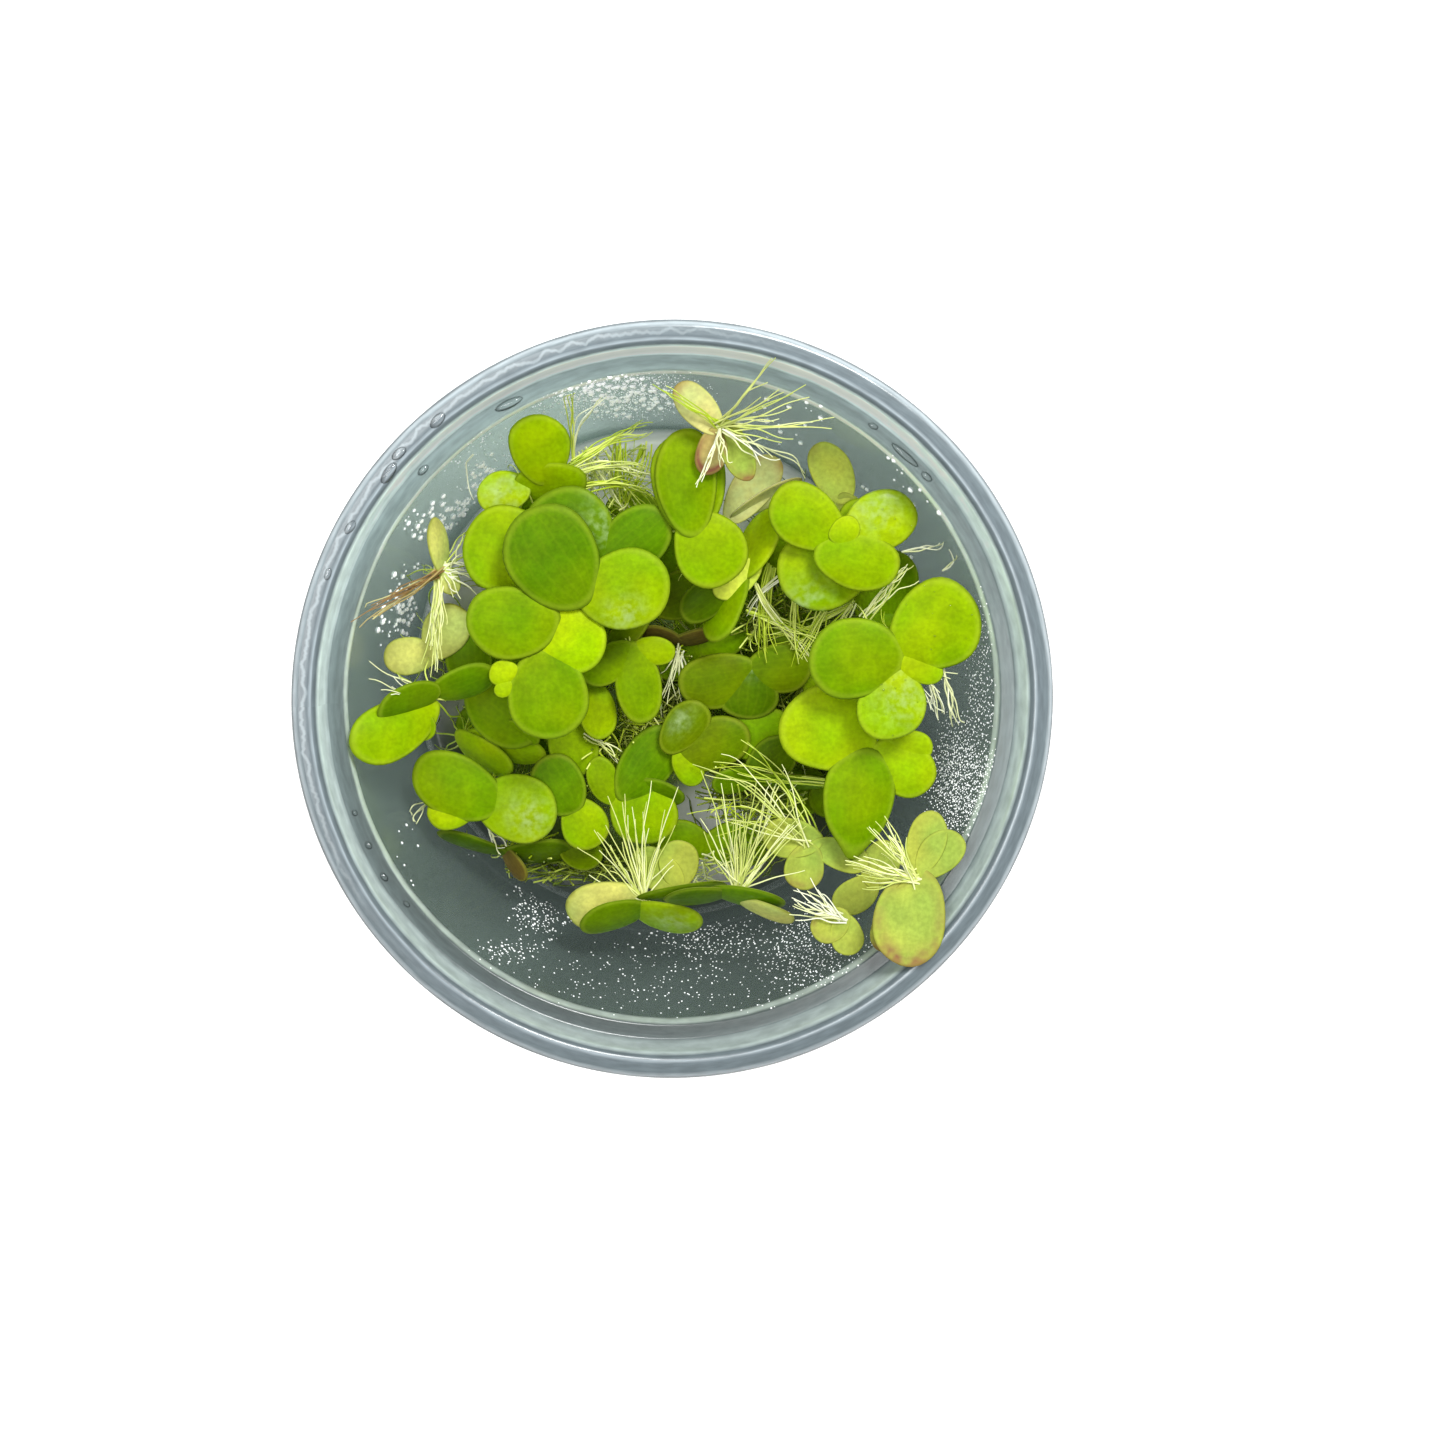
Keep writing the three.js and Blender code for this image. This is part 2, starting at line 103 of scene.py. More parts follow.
def new_material(name):
    """A material with no nodes yet, and the function that adds them."""
    material = bpy.data.materials.new(name)
    material.use_nodes = True
    material.node_tree.nodes.clear()
    return material, node_adder(material.node_tree)


def put(name, mesh):
    """A mesh as an object in the scene."""
    placed = bpy.data.objects.new(name, mesh)
    bpy.context.scene.collection.objects.link(placed)
    return placed


table_reach = 1.5
table_mesh = bpy.data.meshes.new("table")
table_mesh.from_pydata(
    [(x * table_reach, y * table_reach, 0) for x, y in ((-1, -1), (1, -1), (1, 1), (-1, 1))],
    [],
    [(0, 1, 2, 3)],
)
table_white, add = new_material("Table white")
table_skin = add(
    "ShaderNodeBsdfPrincipled",
    {"Base Color": (0.92, 0.92, 0.92, 1), "Roughness": 0.7, "Emission Color": (1, 1, 1, 1),
     "Emission Strength": 0.3},
)
add("ShaderNodeOutputMaterial", {"Surface": table_skin.outputs[0]})
table_mesh.materials.append(table_white)
table = put("table", table_mesh)

room_brightness = 0.62
room = bpy.data.worlds.new("room")
room.use_nodes = True
walls = room.node_tree.nodes["Background"]
walls.inputs["Color"].default_value = (1, 1, 1, 1)
walls.inputs["Strength"].default_value = room_brightness
bpy.context.scene.world = room
bpy.context.scene.view_settings.view_transform = "Standard"


def soft_light(name, place, size, power):
    """A square light that faces the cup, from its place and size in metres and its power in watts."""
    lamp = bpy.data.objects.new(name, bpy.data.lights.new(name, "AREA"))
    lamp.data.size = size
    lamp.data.energy = power
    lamp.location = place
    lamp.rotation_euler = Vector(place).to_track_quat("Z", "Y").to_euler()
    bpy.context.scene.collection.objects.link(lamp)


soft_light("window", (0.2, 0.42, 0.62), 0.25, 7.4)
soft_light("ceiling", (-0.25, 0.1, 0.9), 0.5, 5)

# Cup
# One moulded piece of thin clear plastic. It has a flat frosted floor in a foot ring, a tapered wall, a
# ledge where a lid's plug sits, and a stepped rim that turns down in a short skirt.
rim_radius = 40
rim_top = 34
ledge_top = 30.3
inner_corners = [
    (0, 1.3),
    (26.9, 1.3),
    (28.4, 1.0),
    (29.4, 2.4),
    (34.3, 28),
    (34.8, ledge_top),
    (36.5, ledge_top),
    (37.2, 33.3),
    (37.8, rim_top),
    (39.4, rim_top),
]
outer_corners = [
    (rim_radius, 33.4),
    (rim_radius, 30),
    (39.3, 30),
    (39.3, 33.1),
    (38.1, 33.1),
    (37.2, 29.6),
    (35.4, 29.6),
    (35, 28),
    (30, 1.6),
    (28.7, 0),
    (27.5, 0),
    (26.6, 0.6),
    (0, 0.6),
]
corner_ease = 0.25
profile_step = 1.1
cup_facets = 240


def eased(corners, ease, step):
    """The line through the corners, each turned by a short curve, with a point at every step."""
    largest_share = 0.4
    corners = [Vector(corner) for corner in corners]
    line = [corners[0]]
    for before, corner, after in zip(corners, corners[1:], corners[2:]):
        shorter = min((before - corner).length * largest_share, (after - corner).length * largest_share)
        reach = min(ease, shorter)
        start = corner + (before - corner).normalized() * reach
        end = corner + (after - corner).normalized() * reach
        line += [start, start.lerp(end, 0.5).lerp(corner, 0.5), end]
    line.append(corners[-1])
    fine = [line[0]]
    for here, there in zip(line, line[1:]):
        pieces = max(1, round((there - here).length / step))
        fine += [here.lerp(there, k / pieces) for k in range(1, pieces + 1)]
    return fine


def turned_mesh(name, line, facets):
    """The surface that a line of radius and height makes when it turns about the cup's axis."""
    corners, rings = [], []
    for radius, height in line:
        around = facets if radius > 1e-6 else 1
        rings.append(range(len(corners), len(corners) + around))
        for k in range(around):
            angle = 2 * math.pi * k / facets
            corners.append((radius * math.cos(angle) * mm, radius * math.sin(angle) * mm, height * mm))
    faces = []
    for low, high in zip(rings, rings[1:]):
        for k in range(facets):
            under = [low[k % len(low)], low[(k + 1) % len(low)]]
            over = [high[(k + 1) % len(high)], high[k % len(high)]]
            faces.append(list(dict.fromkeys(under + over)))
    mesh = bpy.data.meshes.new(name)
    mesh.from_pydata(corners, [], faces)
    mesh.shade_smooth()
    return mesh


def paint(red, green, blue):
    """A colour given as 0 to 255 on screen, as the renderer's own numbers."""
    parts = [part / 255 for part in (red, green, blue)]
    return (*(part / 12.92 if part < 0.04045 else ((part + 0.055) / 1.055) ** 2.4 for part in parts), 1)


def ramp(add, factor, stops):
    """A colour ramp from a list of places and colours."""
    band = add("ShaderNodeValToRGB", {"Fac": factor})
    knots = band.color_ramp.elements
    for k, (place, colour) in enumerate(stops):
        knot = knots[k] if k < 2 else knots.new(place)
        knot.position = place
        knot.color = colour
    return band.outputs["Color"]


def worked(add, operation, *values):
    """What a sum, a product or another operation makes of its values."""
    return add("ShaderNodeMath", dict(enumerate(values)), operation=operation).outputs[0]


def fade(add, value, low, high, first=0, last=1, kind="LINEAR"):
    """What goes from first to last while the value goes from low to high."""
    ends = {"Value": value, "From Min": low, "From Max": high, "To Min": first, "To Max": last}
    return add("ShaderNodeMapRange", ends, interpolation_type=kind).outputs[0]


def noise(add, place, scale, detail):
    """Cloudy noise at a place, from 0 to 1."""
    return add("ShaderNodeTexNoise", {"Vector": place, "Scale": scale, "Detail": detail}).outputs["Fac"]


def covered(add, share, under, over):
    """One colour covered by a share of another."""
    return add("ShaderNodeMix", {0: share, 6: under, 7: over}, data_type="RGBA").outputs[2]


def scaled(add, colour, size):
    """A colour made darker or lighter."""
    return add("ShaderNodeVectorMath", {0: colour, 3: size}, operation="SCALE").outputs[0]


def towards(add, place, way):
    """How far a place lies from the cup's axis towards a way."""
    return add("ShaderNodeVectorMath", {0: place, 1: way}, operation="DOT_PRODUCT").outputs["Value"]


cup_plastic, add = new_material("Cup plastic")
place = add("ShaderNodeTexCoord").outputs["Object"]
flat_place = add("ShaderNodeVectorMath", {0: place, 1: (1, 1, 0)}, operation="MULTIPLY").outputs[0]
radius = add("ShaderNodeVectorMath", {0: flat_place}, operation="LENGTH").outputs["Value"]
right, back, height = add("ShaderNodeSeparateXYZ", {0: place}).outputs
angle = worked(add, "ARCTAN2", back, right)
waver = fade(add, noise(add, place, 130, 2), 0, 1, -0.12 * mm, 0.12 * mm)
wavy_radius = worked(add, "ADD", radius, waver)
across = fade(add, wavy_radius, 0, rim_radius * mm)

# Radius, how cloudy the plastic is there, and its colour: the floor, painted green shade under the heap,
# the smoky wall, painted highlights on the steps on both sides of the ledge with painted shade between
# them, and the rim's painted light and dark lines
floor_edge = 28.6
wall_top = 33.8
wall_height = 28.6
ledge_edge = 37.6
bands = [
    (0, 1, (128, 166, 8)),
    (19, 1, (122, 156, 20)),
    (24, 0.95, (96, 110, 60)),
    (26.8, 0.85, (92, 104, 92)),
    (floor_edge, 0.28, (117, 132, 127)),
    (wall_top, 0.3, (112, 127, 122)),
    (34.4, 0.6, (88, 100, 96)),
    (34.5, 0.95, (200, 214, 208)),
    (34.72, 0.95, (200, 214, 208)),
    (34.85, 0.9, (80, 92, 90)),
    (35.8, 0.9, (84, 97, 96)),
    (36.5, 0.9, (106, 120, 119)),
    (36.6, 0.95, (194, 209, 207)),
    (37.2, 0.95, (194, 209, 207)),
    (37.4, 0.92, (124, 136, 138)),
    (37.5, 0.92, (84, 95, 99)),
    (37.8, 0.92, (84, 95, 99)),
    (37.9, 0.95, (136, 147, 152)),
    (38.05, 0.95, (136, 147, 152)),
    (38.2, 0.92, (88, 99, 104)),
    (39.3, 0.92, (94, 105, 109)),
    (39.45, 0.9, (150, 160, 164)),
    (39.7, 0.9, (150, 160, 164)),
    (39.8, 0.9, (78, 88, 92)),
]
below_ledge = worked(add, "LESS_THAN", height, wall_height * mm)
wall_share = worked(add, "MINIMUM", across, wall_top / rim_radius)
across = add("ShaderNodeMix", {0: below_ledge, 2: across, 3: wall_share}).outputs[0]
cloud = ramp(add, across, [(reach / rim_radius, (c, c, c, 1)) for reach, c, colour in bands])
tint = ramp(add, across, [(reach / rim_radius, paint(*colour)) for reach, c, colour in bands])

# Painted light and shade: the plastic's colour is painted lighter towards the window at the back, and
# painted darker on the right below the ledge. Streaks of damp run round the ledge and the rim, as lighter
# and darker stripes of painted sheen
to_back = worked(add, "MULTIPLY", back, 14.5)
inside = worked(add, "POWER", 3.5, to_back)
painted_light_on_ledge = worked(add, "POWER", 4.2, to_back)
painted_light_on_rim = worked(add, "POWER", 1.25, to_back)
right_way = (0.866, 0.5, 0)
painted_shade_right = fade(add, towards(add, place, right_way), 6 * mm, 20 * mm, 1, 0.74)
inside = worked(add, "MULTIPLY", inside, painted_shade_right)
past_ledge = fade(add, radius, (ledge_edge - 0.5) * mm, ledge_edge * mm)
painted_light_outside = add("ShaderNodeMix", {0: past_ledge, 2: painted_light_on_ledge, 3: painted_light_on_rim}).outputs[0]
round_way = worked(add, "MULTIPLY", angle, 16)
out_way = worked(add, "MULTIPLY", radius, 2600)
wrapped = add("ShaderNodeCombineXYZ", {0: round_way, 1: out_way}).outputs[0]
streaks = fade(add, noise(add, wrapped, 1, 3), 0.35, 0.65, 0.88, 1.14)
painted_light_outside = worked(add, "MULTIPLY", painted_light_outside, streaks)
outward = fade(add, radius, wall_top * mm, (wall_top + 0.6) * mm)
lighter = add("ShaderNodeMix", {0: outward, 2: inside, 3: painted_light_outside}).outputs[0]
tint = scaled(add, tint, lighter)

# A wandering line of damp lies along the left side of the rim, painted as a light sheen
bend_place = add("ShaderNodeCombineXYZ", {0: worked(add, "MULTIPLY", angle, 15)}).outputs[0]
damp_radius = fade(add, noise(add, bend_place, 1, 3), 0.3, 0.7, 38.3 * mm, 39.3 * mm)
from_line = worked(add, "ABSOLUTE", worked(add, "SUBTRACT", radius, damp_radius))
damp_sheen_line = fade(add, from_line, 0.06 * mm, 0.26 * mm, 0.26, 0)
left_way = (-0.8, 0.6, 0)
on_left = fade(add, towards(add, place, left_way), 12 * mm, 30 * mm)
damp_sheen_line = worked(add, "MULTIPLY", damp_sheen_line, on_left)
tint = covered(add, damp_sheen_line, tint, paint(196, 208, 212))

# The floor is frosted white where it is bare, at the back and in one patch in front of the middle
on_floor = fade(add, radius, (floor_edge - 1.6) * mm, floor_edge * mm, 1, 0)
at_back = fade(add, back, 4 * mm, 20 * mm)
patch_middle = (5.5 * mm, -18.5 * mm, 0)
from_patch = add("ShaderNodeVectorMath", {0: flat_place, 1: patch_middle}, operation="DISTANCE")
in_patch = fade(add, from_patch.outputs["Value"], 4.5 * mm, 7.5 * mm, 1, 0)
frosted = worked(add, "MULTIPLY", worked(add, "MAXIMUM", at_back, in_patch), on_floor)
tint = covered(add, frosted, tint, (0.95, 0.95, 0.91, 1))
whitest = (0.95, 0.95, 0.95)
tint = add("ShaderNodeVectorMath", {0: tint, 1: whitest}, operation="MINIMUM").outputs[0]
grain = noise(add, place, 900, 3)
frost = add("ShaderNodeBump", {"Height": grain, "Strength": 0.1, "Distance": 0.2 * mm}).outputs[0]
plastic_skin = add(
    "ShaderNodeBsdfPrincipled",
    {"Base Color": tint, "Roughness": 0.25, "IOR": 1.49, "Normal": frost, "Coat Weight": 0.12},
)

# Painted shade: what shines through the plastic is made darker towards the front and on the right
painted_front_shade = worked(add, "MULTIPLY", fade(add, back, -32 * mm, 28 * mm, 0.68, 1.14), painted_shade_right)
clear_tint = scaled(add, (0.49, 0.555, 0.535), painted_front_shade)
clear_tint = covered(add, frosted, clear_tint, (0.92, 0.93, 0.92, 1))

# The wall is clear where one looks straight through it, and dull along it, where the way through it is long
slant = add("ShaderNodeLayerWeight", {"Blend": 0.5}).outputs["Facing"]
slant = fade(add, slant, 0.25, 0.58, 1, 0, "SMOOTHSTEP")
on_wall = fade(add, radius, 29.7 * mm, 30.6 * mm)
straight = worked(add, "MULTIPLY", worked(add, "MULTIPLY", on_wall, below_ledge), slant)
clear_tint = covered(add, straight, clear_tint, (0.88, 0.92, 0.91, 1))
cloud = worked(add, "MULTIPLY", cloud, fade(add, straight, 0, 1, 1, 0.3))
plastic_clear = add("ShaderNodeBsdfTransparent", {"Color": clear_tint})
plastic = add("ShaderNodeMixShader", {0: cloud, 1: plastic_clear.outputs[0], 2: plastic_skin.outputs[0]})
add("ShaderNodeOutputMaterial", {"Surface": plastic.outputs[0]})

cup_line = eased([*reversed(outer_corners), *reversed(inner_corners)], corner_ease, profile_step)
cup_mesh = turned_mesh("moulded_cup", cup_line, cup_facets)
cup_mesh.materials.append(cup_plastic)
cup = put("moulded_cup", cup_mesh)
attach(cup, "root")
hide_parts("cup")

# Drops on the cup
# Water that has condensed on the inside of the wall as fine mist and small drops, and a few large drops
# that lie on the rim and its ledge. Nothing holds them but the plastic, so they are separate from it.
def geometry_tree(name, inputs):
    """An empty tree for shapes with the named inputs, its adder, and the input node."""
    tree = bpy.data.node_groups.new(name, "GeometryNodeTree")
    tree.interface.new_socket("Geometry", in_out="INPUT", socket_type="NodeSocketGeometry")
    for label, kind, value in inputs:
        socket = tree.interface.new_socket(label, in_out="INPUT", socket_type="NodeSocket" + kind)
        if value is not None:
            socket.default_value = value
    tree.interface.new_socket("Geometry", in_out="OUTPUT", socket_type="NodeSocketGeometry")
    add = node_adder(tree)
    return tree, add, add("NodeGroupInput").outputs


def shaped(name, mesh, tree, settings):
    """The object that a tree makes of a mesh, as a plain mesh with no modifier left on it."""
    made = put(name, mesh)
    modifier = made.modifiers.new("Shape", "NODES")
    modifier.node_group = tree
    for label, value in settings.items():
        modifier[tree.interface.items_tree[label].identifier] = value
    depsgraph = bpy.context.evaluated_depsgraph_get()
    plain = bpy.data.meshes.new_from_object(
        made.evaluated_get(depsgraph), preserve_all_data_layers=True, depsgraph=depsgraph
    )
    made.modifiers.remove(modifier)
    made.data = plain
    return made


# The small drops are whitish and glow faintly: a painted glint of the light they catch
water, add = new_material("Water drops")
water_skin = add(
    "ShaderNodeBsdfPrincipled",
    {"Base Color": (0.95, 0.97, 0.97, 1), "Roughness": 0.08, "IOR": 1.33, "Emission Color": (1, 1, 1, 1),
     "Emission Strength": 0.18},
)
water_clear = add("ShaderNodeBsdfTransparent", {"Color": (0.96, 0.98, 0.98, 1)})
water_both = add("ShaderNodeMixShader", {0: 0.92, 1: water_clear.outputs[0], 2: water_skin.outputs[0]})
add("ShaderNodeOutputMaterial", {"Surface": water_both.outputs[0]})

# Clear water is dark at a drop's edge, where the view through it is bent away
clear_water, add = new_material("Clear water")
facing = add("ShaderNodeLayerWeight", {"Blend": 0.35}).outputs["Facing"]
edge_shade = fade(add, facing, 0.25, 0.9, 1, 0.3)
edge_tint = add("ShaderNodeCombineXYZ", {0: edge_shade, 1: edge_shade, 2: edge_shade}).outputs[0]
clear_inside = add("ShaderNodeBsdfTransparent", {"Color": edge_tint})
clear_shine = add("ShaderNodeBsdfGlossy", {"Color": (1, 1, 1, 1), "Roughness": 0.06})
shine = add("ShaderNodeFresnel", {"IOR": 1.4}).outputs[0]
clear_both = add("ShaderNodeMixShader", {0: shine, 1: clear_inside.outputs[0], 2: clear_shine.outputs[0]})
add("ShaderNodeOutputMaterial", {"Surface": clear_both.outputs[0]})

drop_tree, add, given = geometry_tree(
    "Scatter drops",
    [("Drops per square metre", "Float", 1e6), ("Smallest drop", "Float", 0.1 * mm),
     ("Largest drop", "Float", 0.2 * mm), ("Flatness", "Float", 0.8), ("Seed", "Int", 1),
     ("Material", "Material", None)],
)
damp_share = add("GeometryNodeInputNamedAttribute", {"Name": "damp"}, data_type="FLOAT")
dense = worked(add, "MULTIPLY", damp_share.outputs["Attribute"], given["Drops per square metre"])
spots = add(
    "GeometryNodeDistributePointsOnFaces",
    {"Mesh": given["Geometry"], "Density": dense, "Seed": given["Seed"]},
)
bead = add("GeometryNodeMeshIcoSphere", {"Radius": 1.0, "Subdivisions": 1}).outputs["Mesh"]
bead = add("GeometryNodeSetShadeSmooth", {"Geometry": bead}).outputs[0]
size = add(
    "FunctionNodeRandomValue",
    {2: given["Smallest drop"], 3: given["Largest drop"], "Seed": given["Seed"]},
    data_type="FLOAT",
).outputs[1]
drop_height = worked(add, "MULTIPLY", size, given["Flatness"])
drop_shape = add("ShaderNodeCombineXYZ", {0: size, 1: size, 2: drop_height}).outputs[0]
drops = add(
    "GeometryNodeInstanceOnPoints",
    {"Points": spots.outputs["Points"], "Instance": bead, "Rotation": spots.outputs["Rotation"],
     "Scale": drop_shape},
)
drops = add("GeometryNodeRealizeInstances", {"Geometry": drops.outputs[0]})
drops = add("GeometryNodeSetMaterial", {"Geometry": drops.outputs[0], "Material": given["Material"]})
add("NodeGroupOutput", {"Geometry": drops.outputs[0]})


def damp_wall(name, patches):
    """The cup's inner wall, damp where the camera sees patches: their middle, half size and dampness."""
    wall_step, soft_reach = 0.6, 1.6
    nadir_x, nadir_y = under_lens.x / mm, under_lens.y / mm
    line = eased(inner_corners[3:6], corner_ease, wall_step)
    mesh = turned_mesh(name, line[::-1], cup_facets)
    dampness = []
    for corner in mesh.vertices:
        x, y, z = (c / mm for c in corner.co)
        depth = lens_depth(z)
        seen_x = nadir_x + (x - nadir_x) / depth
        seen_y = nadir_y + (y - nadir_y) / depth
        share = 0
        for (middle_x, middle_y), (half_x, half_y), most in patches:
            away = math.hypot((seen_x - middle_x) / half_x, (seen_y - middle_y) / half_y)
            share = max(share, most * min(max(soft_reach - away, 0), 1))
        dampness.append(share)
    mesh.attributes.new("damp", "FLOAT", "POINT").data.foreach_set("value", dampness)
    return mesh


def scattered(name, mesh, settings):
    """Drops scattered over a damp face, as a piece that goes with the cup and its plants."""
    piece = shaped(name, mesh, drop_tree, {"Material": water, **settings})
    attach(piece, "root")


scattered("wall_mist", damp_wall("mist_face", [
    ((30.4, -8.5), (2.8, 5.2), 1),
    ((32.2, -1), (1.2, 9), 0.4),
    ((4, -25), (5, 1.8), 0.3),
    ((14.5, -26.5), (4.5, 3.5), 0.4),
    ((4, -29), (16, 3), 0.07),
    ((-14.5, -21.6), (2.2, 2.8), 0.25),
    ((-17.3, -26), (2.6, 1), 0.3),
    ((-6, 32.4), (7, 2), 0.35),
    ((-20, 25), (3, 3), 0.06),
]), {"Drops per square metre": 9e6, "Smallest drop": 0.04 * mm, "Largest drop": 0.12 * mm, "Seed": 3})
scattered("wall_drops", damp_wall("drops_face", [
    ((-6, 32.4), (5, 1.6), 1),
    ((-19.4, 23.4), (1.6, 1.6), 1),
    ((-22.6, 20), (2.2, 1.6), 0.9),
    ((-26.5, 18.4), (1.4, 1.4), 0.7),
    ((-28, 9), (2, 4), 0.7),
    ((24, 22), (3, 4), 0.15),
    ((12, 30), (4, 3), 0.15),
]), {"Drops per square metre": 0.9e6, "Smallest drop": 0.08 * mm, "Largest drop": 0.42 * mm, "Seed": 5})
scattered("wall_specks", damp_wall("specks_face", [
    ((-14.2, -21), (2.4, 2.8), 1),
    ((-17.5, -26), (3, 1), 0.9),
    ((-20.6, -16.6), (1.4, 1.2), 0.6),
    ((1, -25), (5, 1.6), 0.5),
    ((-28, -15), (1.4, 4), 0.12),
]), {"Drops per square metre": 0.6e6, "Smallest drop": 0.06 * mm, "Largest drop": 0.2 * mm, "Seed": 6})


def large_drops(name, drops):
    """Flattened drops on the rim or its ledge: compass angle, radius, length, breadth and height."""
    rows, columns = 6, 14
    lopsided = 0.12
    corners, faces = [], []
    for angle, radius, length, breadth, height in drops:
        ground = rim_top if radius > ledge_edge else ledge_top
        turn = math.radians(angle)
        out = Vector((math.cos(turn), math.sin(turn), 0))
        along = Vector((-math.sin(turn), math.cos(turn), 0))
        middle = out * radius + Vector((0, 0, ground))
        first = len(corners)
        corners.append(middle - Vector((0, 0, height)))
        for i in range(1, rows):
            tilt = math.pi * i / rows
            for j in range(columns):
                round_turn = 2 * math.pi * j / columns
                uneven = 1 + lopsided * math.sin(2 * round_turn + angle)
                corners.append(
                    middle
                    + along * (length / 2 * uneven * math.sin(tilt) * math.cos(round_turn))
                    + out * (breadth / 2 * uneven * math.sin(tilt) * math.sin(round_turn))
                    - Vector((0, 0, height * math.cos(tilt)))
                )
        corners.append(middle + Vector((0, 0, height)))
        last = len(corners) - 1
        for j in range(columns):
            here, there = first + 1 + j, first + 1 + (j + 1) % columns
            faces.append((first, here, there))
            for i in range(rows - 2):
                step, above = i * columns, (i + 1) * columns
                faces.append((here + step, here + above, there + above, there + step))
            top = (rows - 2) * columns
            faces.append((here + top, last, there + top))
    mesh = bpy.data.meshes.new(name)
    mesh.from_pydata([corner * mm for corner in corners], [], faces)
    mesh.shade_smooth()
    mesh.materials.append(clear_water)
    piece = put(name, mesh)
    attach(piece, "root")


large_drops("rim_drops", [
    (140.7, 38.2, 2.4, 1.2, 0.3),
    (137.4, 38.7, 2.0, 0.9, 0.3),
    (129.6, 38.4, 2.2, 1.0, 0.3),
    (151, 38.4, 1.6, 0.9, 0.25),
    (159, 38.5, 1.2, 0.8, 0.2),
    (118.8, 35.7, 3.4, 0.9, 0.4),
    (137, 35.8, 1.6, 0.7, 0.3),
    (46.7, 35.6, 3.6, 0.8, 0.4),
    (41.5, 35.7, 1.5, 0.7, 0.3),
    (54, 35.8, 1.2, 0.6, 0.3),
    (205, 35.7, 1.0, 0.6, 0.3),
    (211, 35.9, 1.2, 0.6, 0.3),
    (217, 35.6, 0.9, 0.5, 0.25),
    (199, 35.7, 0.8, 0.5, 0.25),
])

# Plants
# Giant duckweed: each plant is a few flat fronds grown from one node, waxy green above and paler below,
# with tufts of hair-thin roots. The damp plants lie on each other, each at the height where it has settled.
frond_thickness = 0.42
frond_dome = 0.05
tip_fullness = 0.14
node_overlap = 0.7
grid_rows, grid_columns = 18, 14
# The greens warm, fresh, bright, mid, deep and shade are one frond green at several levels: partly the
# fronds' own variation, partly painted light and painted shade for how much light reaches and passes
# through each frond
tones = {
    "bright": paint(132, 164, 0),
    "fresh": paint(148, 178, 4),
    "warm": paint(155, 185, 0),
    "mid": paint(112, 146, 0),
    "deep": paint(90, 126, 0),
    "shade": paint(76, 105, 0),
    "olive": paint(94, 118, 0),
    "brown": paint(100, 88, 36),
    "pale": paint(220, 212, 166),
    "light": paint(200, 216, 74),
    "aged": paint(188, 194, 104),
    "red": paint(130, 24, 92),
}


def frond(turn, length, width, base=(0, 0), rise=0, roll=0, lift=0, full=tip_fullness, tone="mid",
          blush=0.15, wet=None, dew=0, peak=0):
    """A frond: its compass direction and size, where its base is beside the node, and how it is tipped."""
    return dict(turn=turn, length=length, width=width, base=base, rise=rise, roll=roll, lift=lift,
                full=full, tone=tone, blush=blush, wet=wet, dew=dew, peak=peak)


def tuft(turn, reach, climb, count=12, spread=14, tint="pale"):
    """Roots that lie across the plant: their direction, how far and high their tips reach, and how many."""
    return dict(turn=turn, reach=reach, climb=climb, count=count, spread=spread, tint=tint)


def placed_frond(points, leaf):
    """Points of a flat frond, tipped and turned and moved to where it grows from its node."""
    roll, rise, turn = (math.radians(leaf[k]) for k in ("roll", "rise", "turn"))
    way = Matrix.Rotation(turn, 3, "Z") @ Matrix.Rotation(-rise, 3, "Y") @ Matrix.Rotation(roll, 3, "X")
    return points @ np.array(way).T + np.array((*leaf["base"], leaf["lift"]))


def frond_outline(along, across, leaf):
    """Flat places of a frond from how far along it and across it they are, from -1 to 1."""
    x = leaf["length"] / 2 * (1 + along) - node_overlap / 2 * (1 - along)
    y = leaf["width"] / 2 * across * (1 + leaf["full"] * along)
    return x, y


def bend_of(climb, face_down):
    """The height of a tuft's bend, which is on the root side of the fronds."""
    return max(0.35 * climb, 0) + 0.8 if face_down else climb * 0.55 - 0.3


def top_of_solid(fronds, tufts, face_down):
    """How far a plant's plain solid, with few-sided fronds and thick roots, reaches above its node."""
    node_top, half_skin = 0.7, 0.25
    highest = [node_top]
    for leaf in fronds:
        sides = round(min(max(leaf["length"], 6), 8))
        angles = 2 * math.pi * np.arange(sides) / sides
        along = np.append(np.sin(angles), [0, 0])
        across = np.append(-np.cos(angles), [0, 0])
        x, y = frond_outline(along, across, leaf)
        skin = np.append(np.zeros(sides), [-half_skin, half_skin])
        z = frond_dome * leaf["length"] * (1 - along**2 - across**2) + skin
        corners = placed_frond(np.column_stack((x, y, -z if face_down else z)), leaf)
        highest.append(corners[:, 2].max())
    for each in tufts:
        knee_x, knee_z = 0.35 * each["reach"], bend_of(each["climb"], face_down)
        for t, girth in ((0.35, 0.6), (0.8, 0.45), (1, 0)):
            slope_x = 2 * (1 - t) * knee_x + 2 * t * (each["reach"] - knee_x)
            slope_z = 2 * (1 - t) * knee_z + 2 * t * (each["climb"] - knee_z)
            height = 2 * t * (1 - t) * knee_z + t * t * each["climb"]
            highest.append(height + girth * abs(slope_x) / math.hypot(slope_x, slope_z))
    return max(highest)


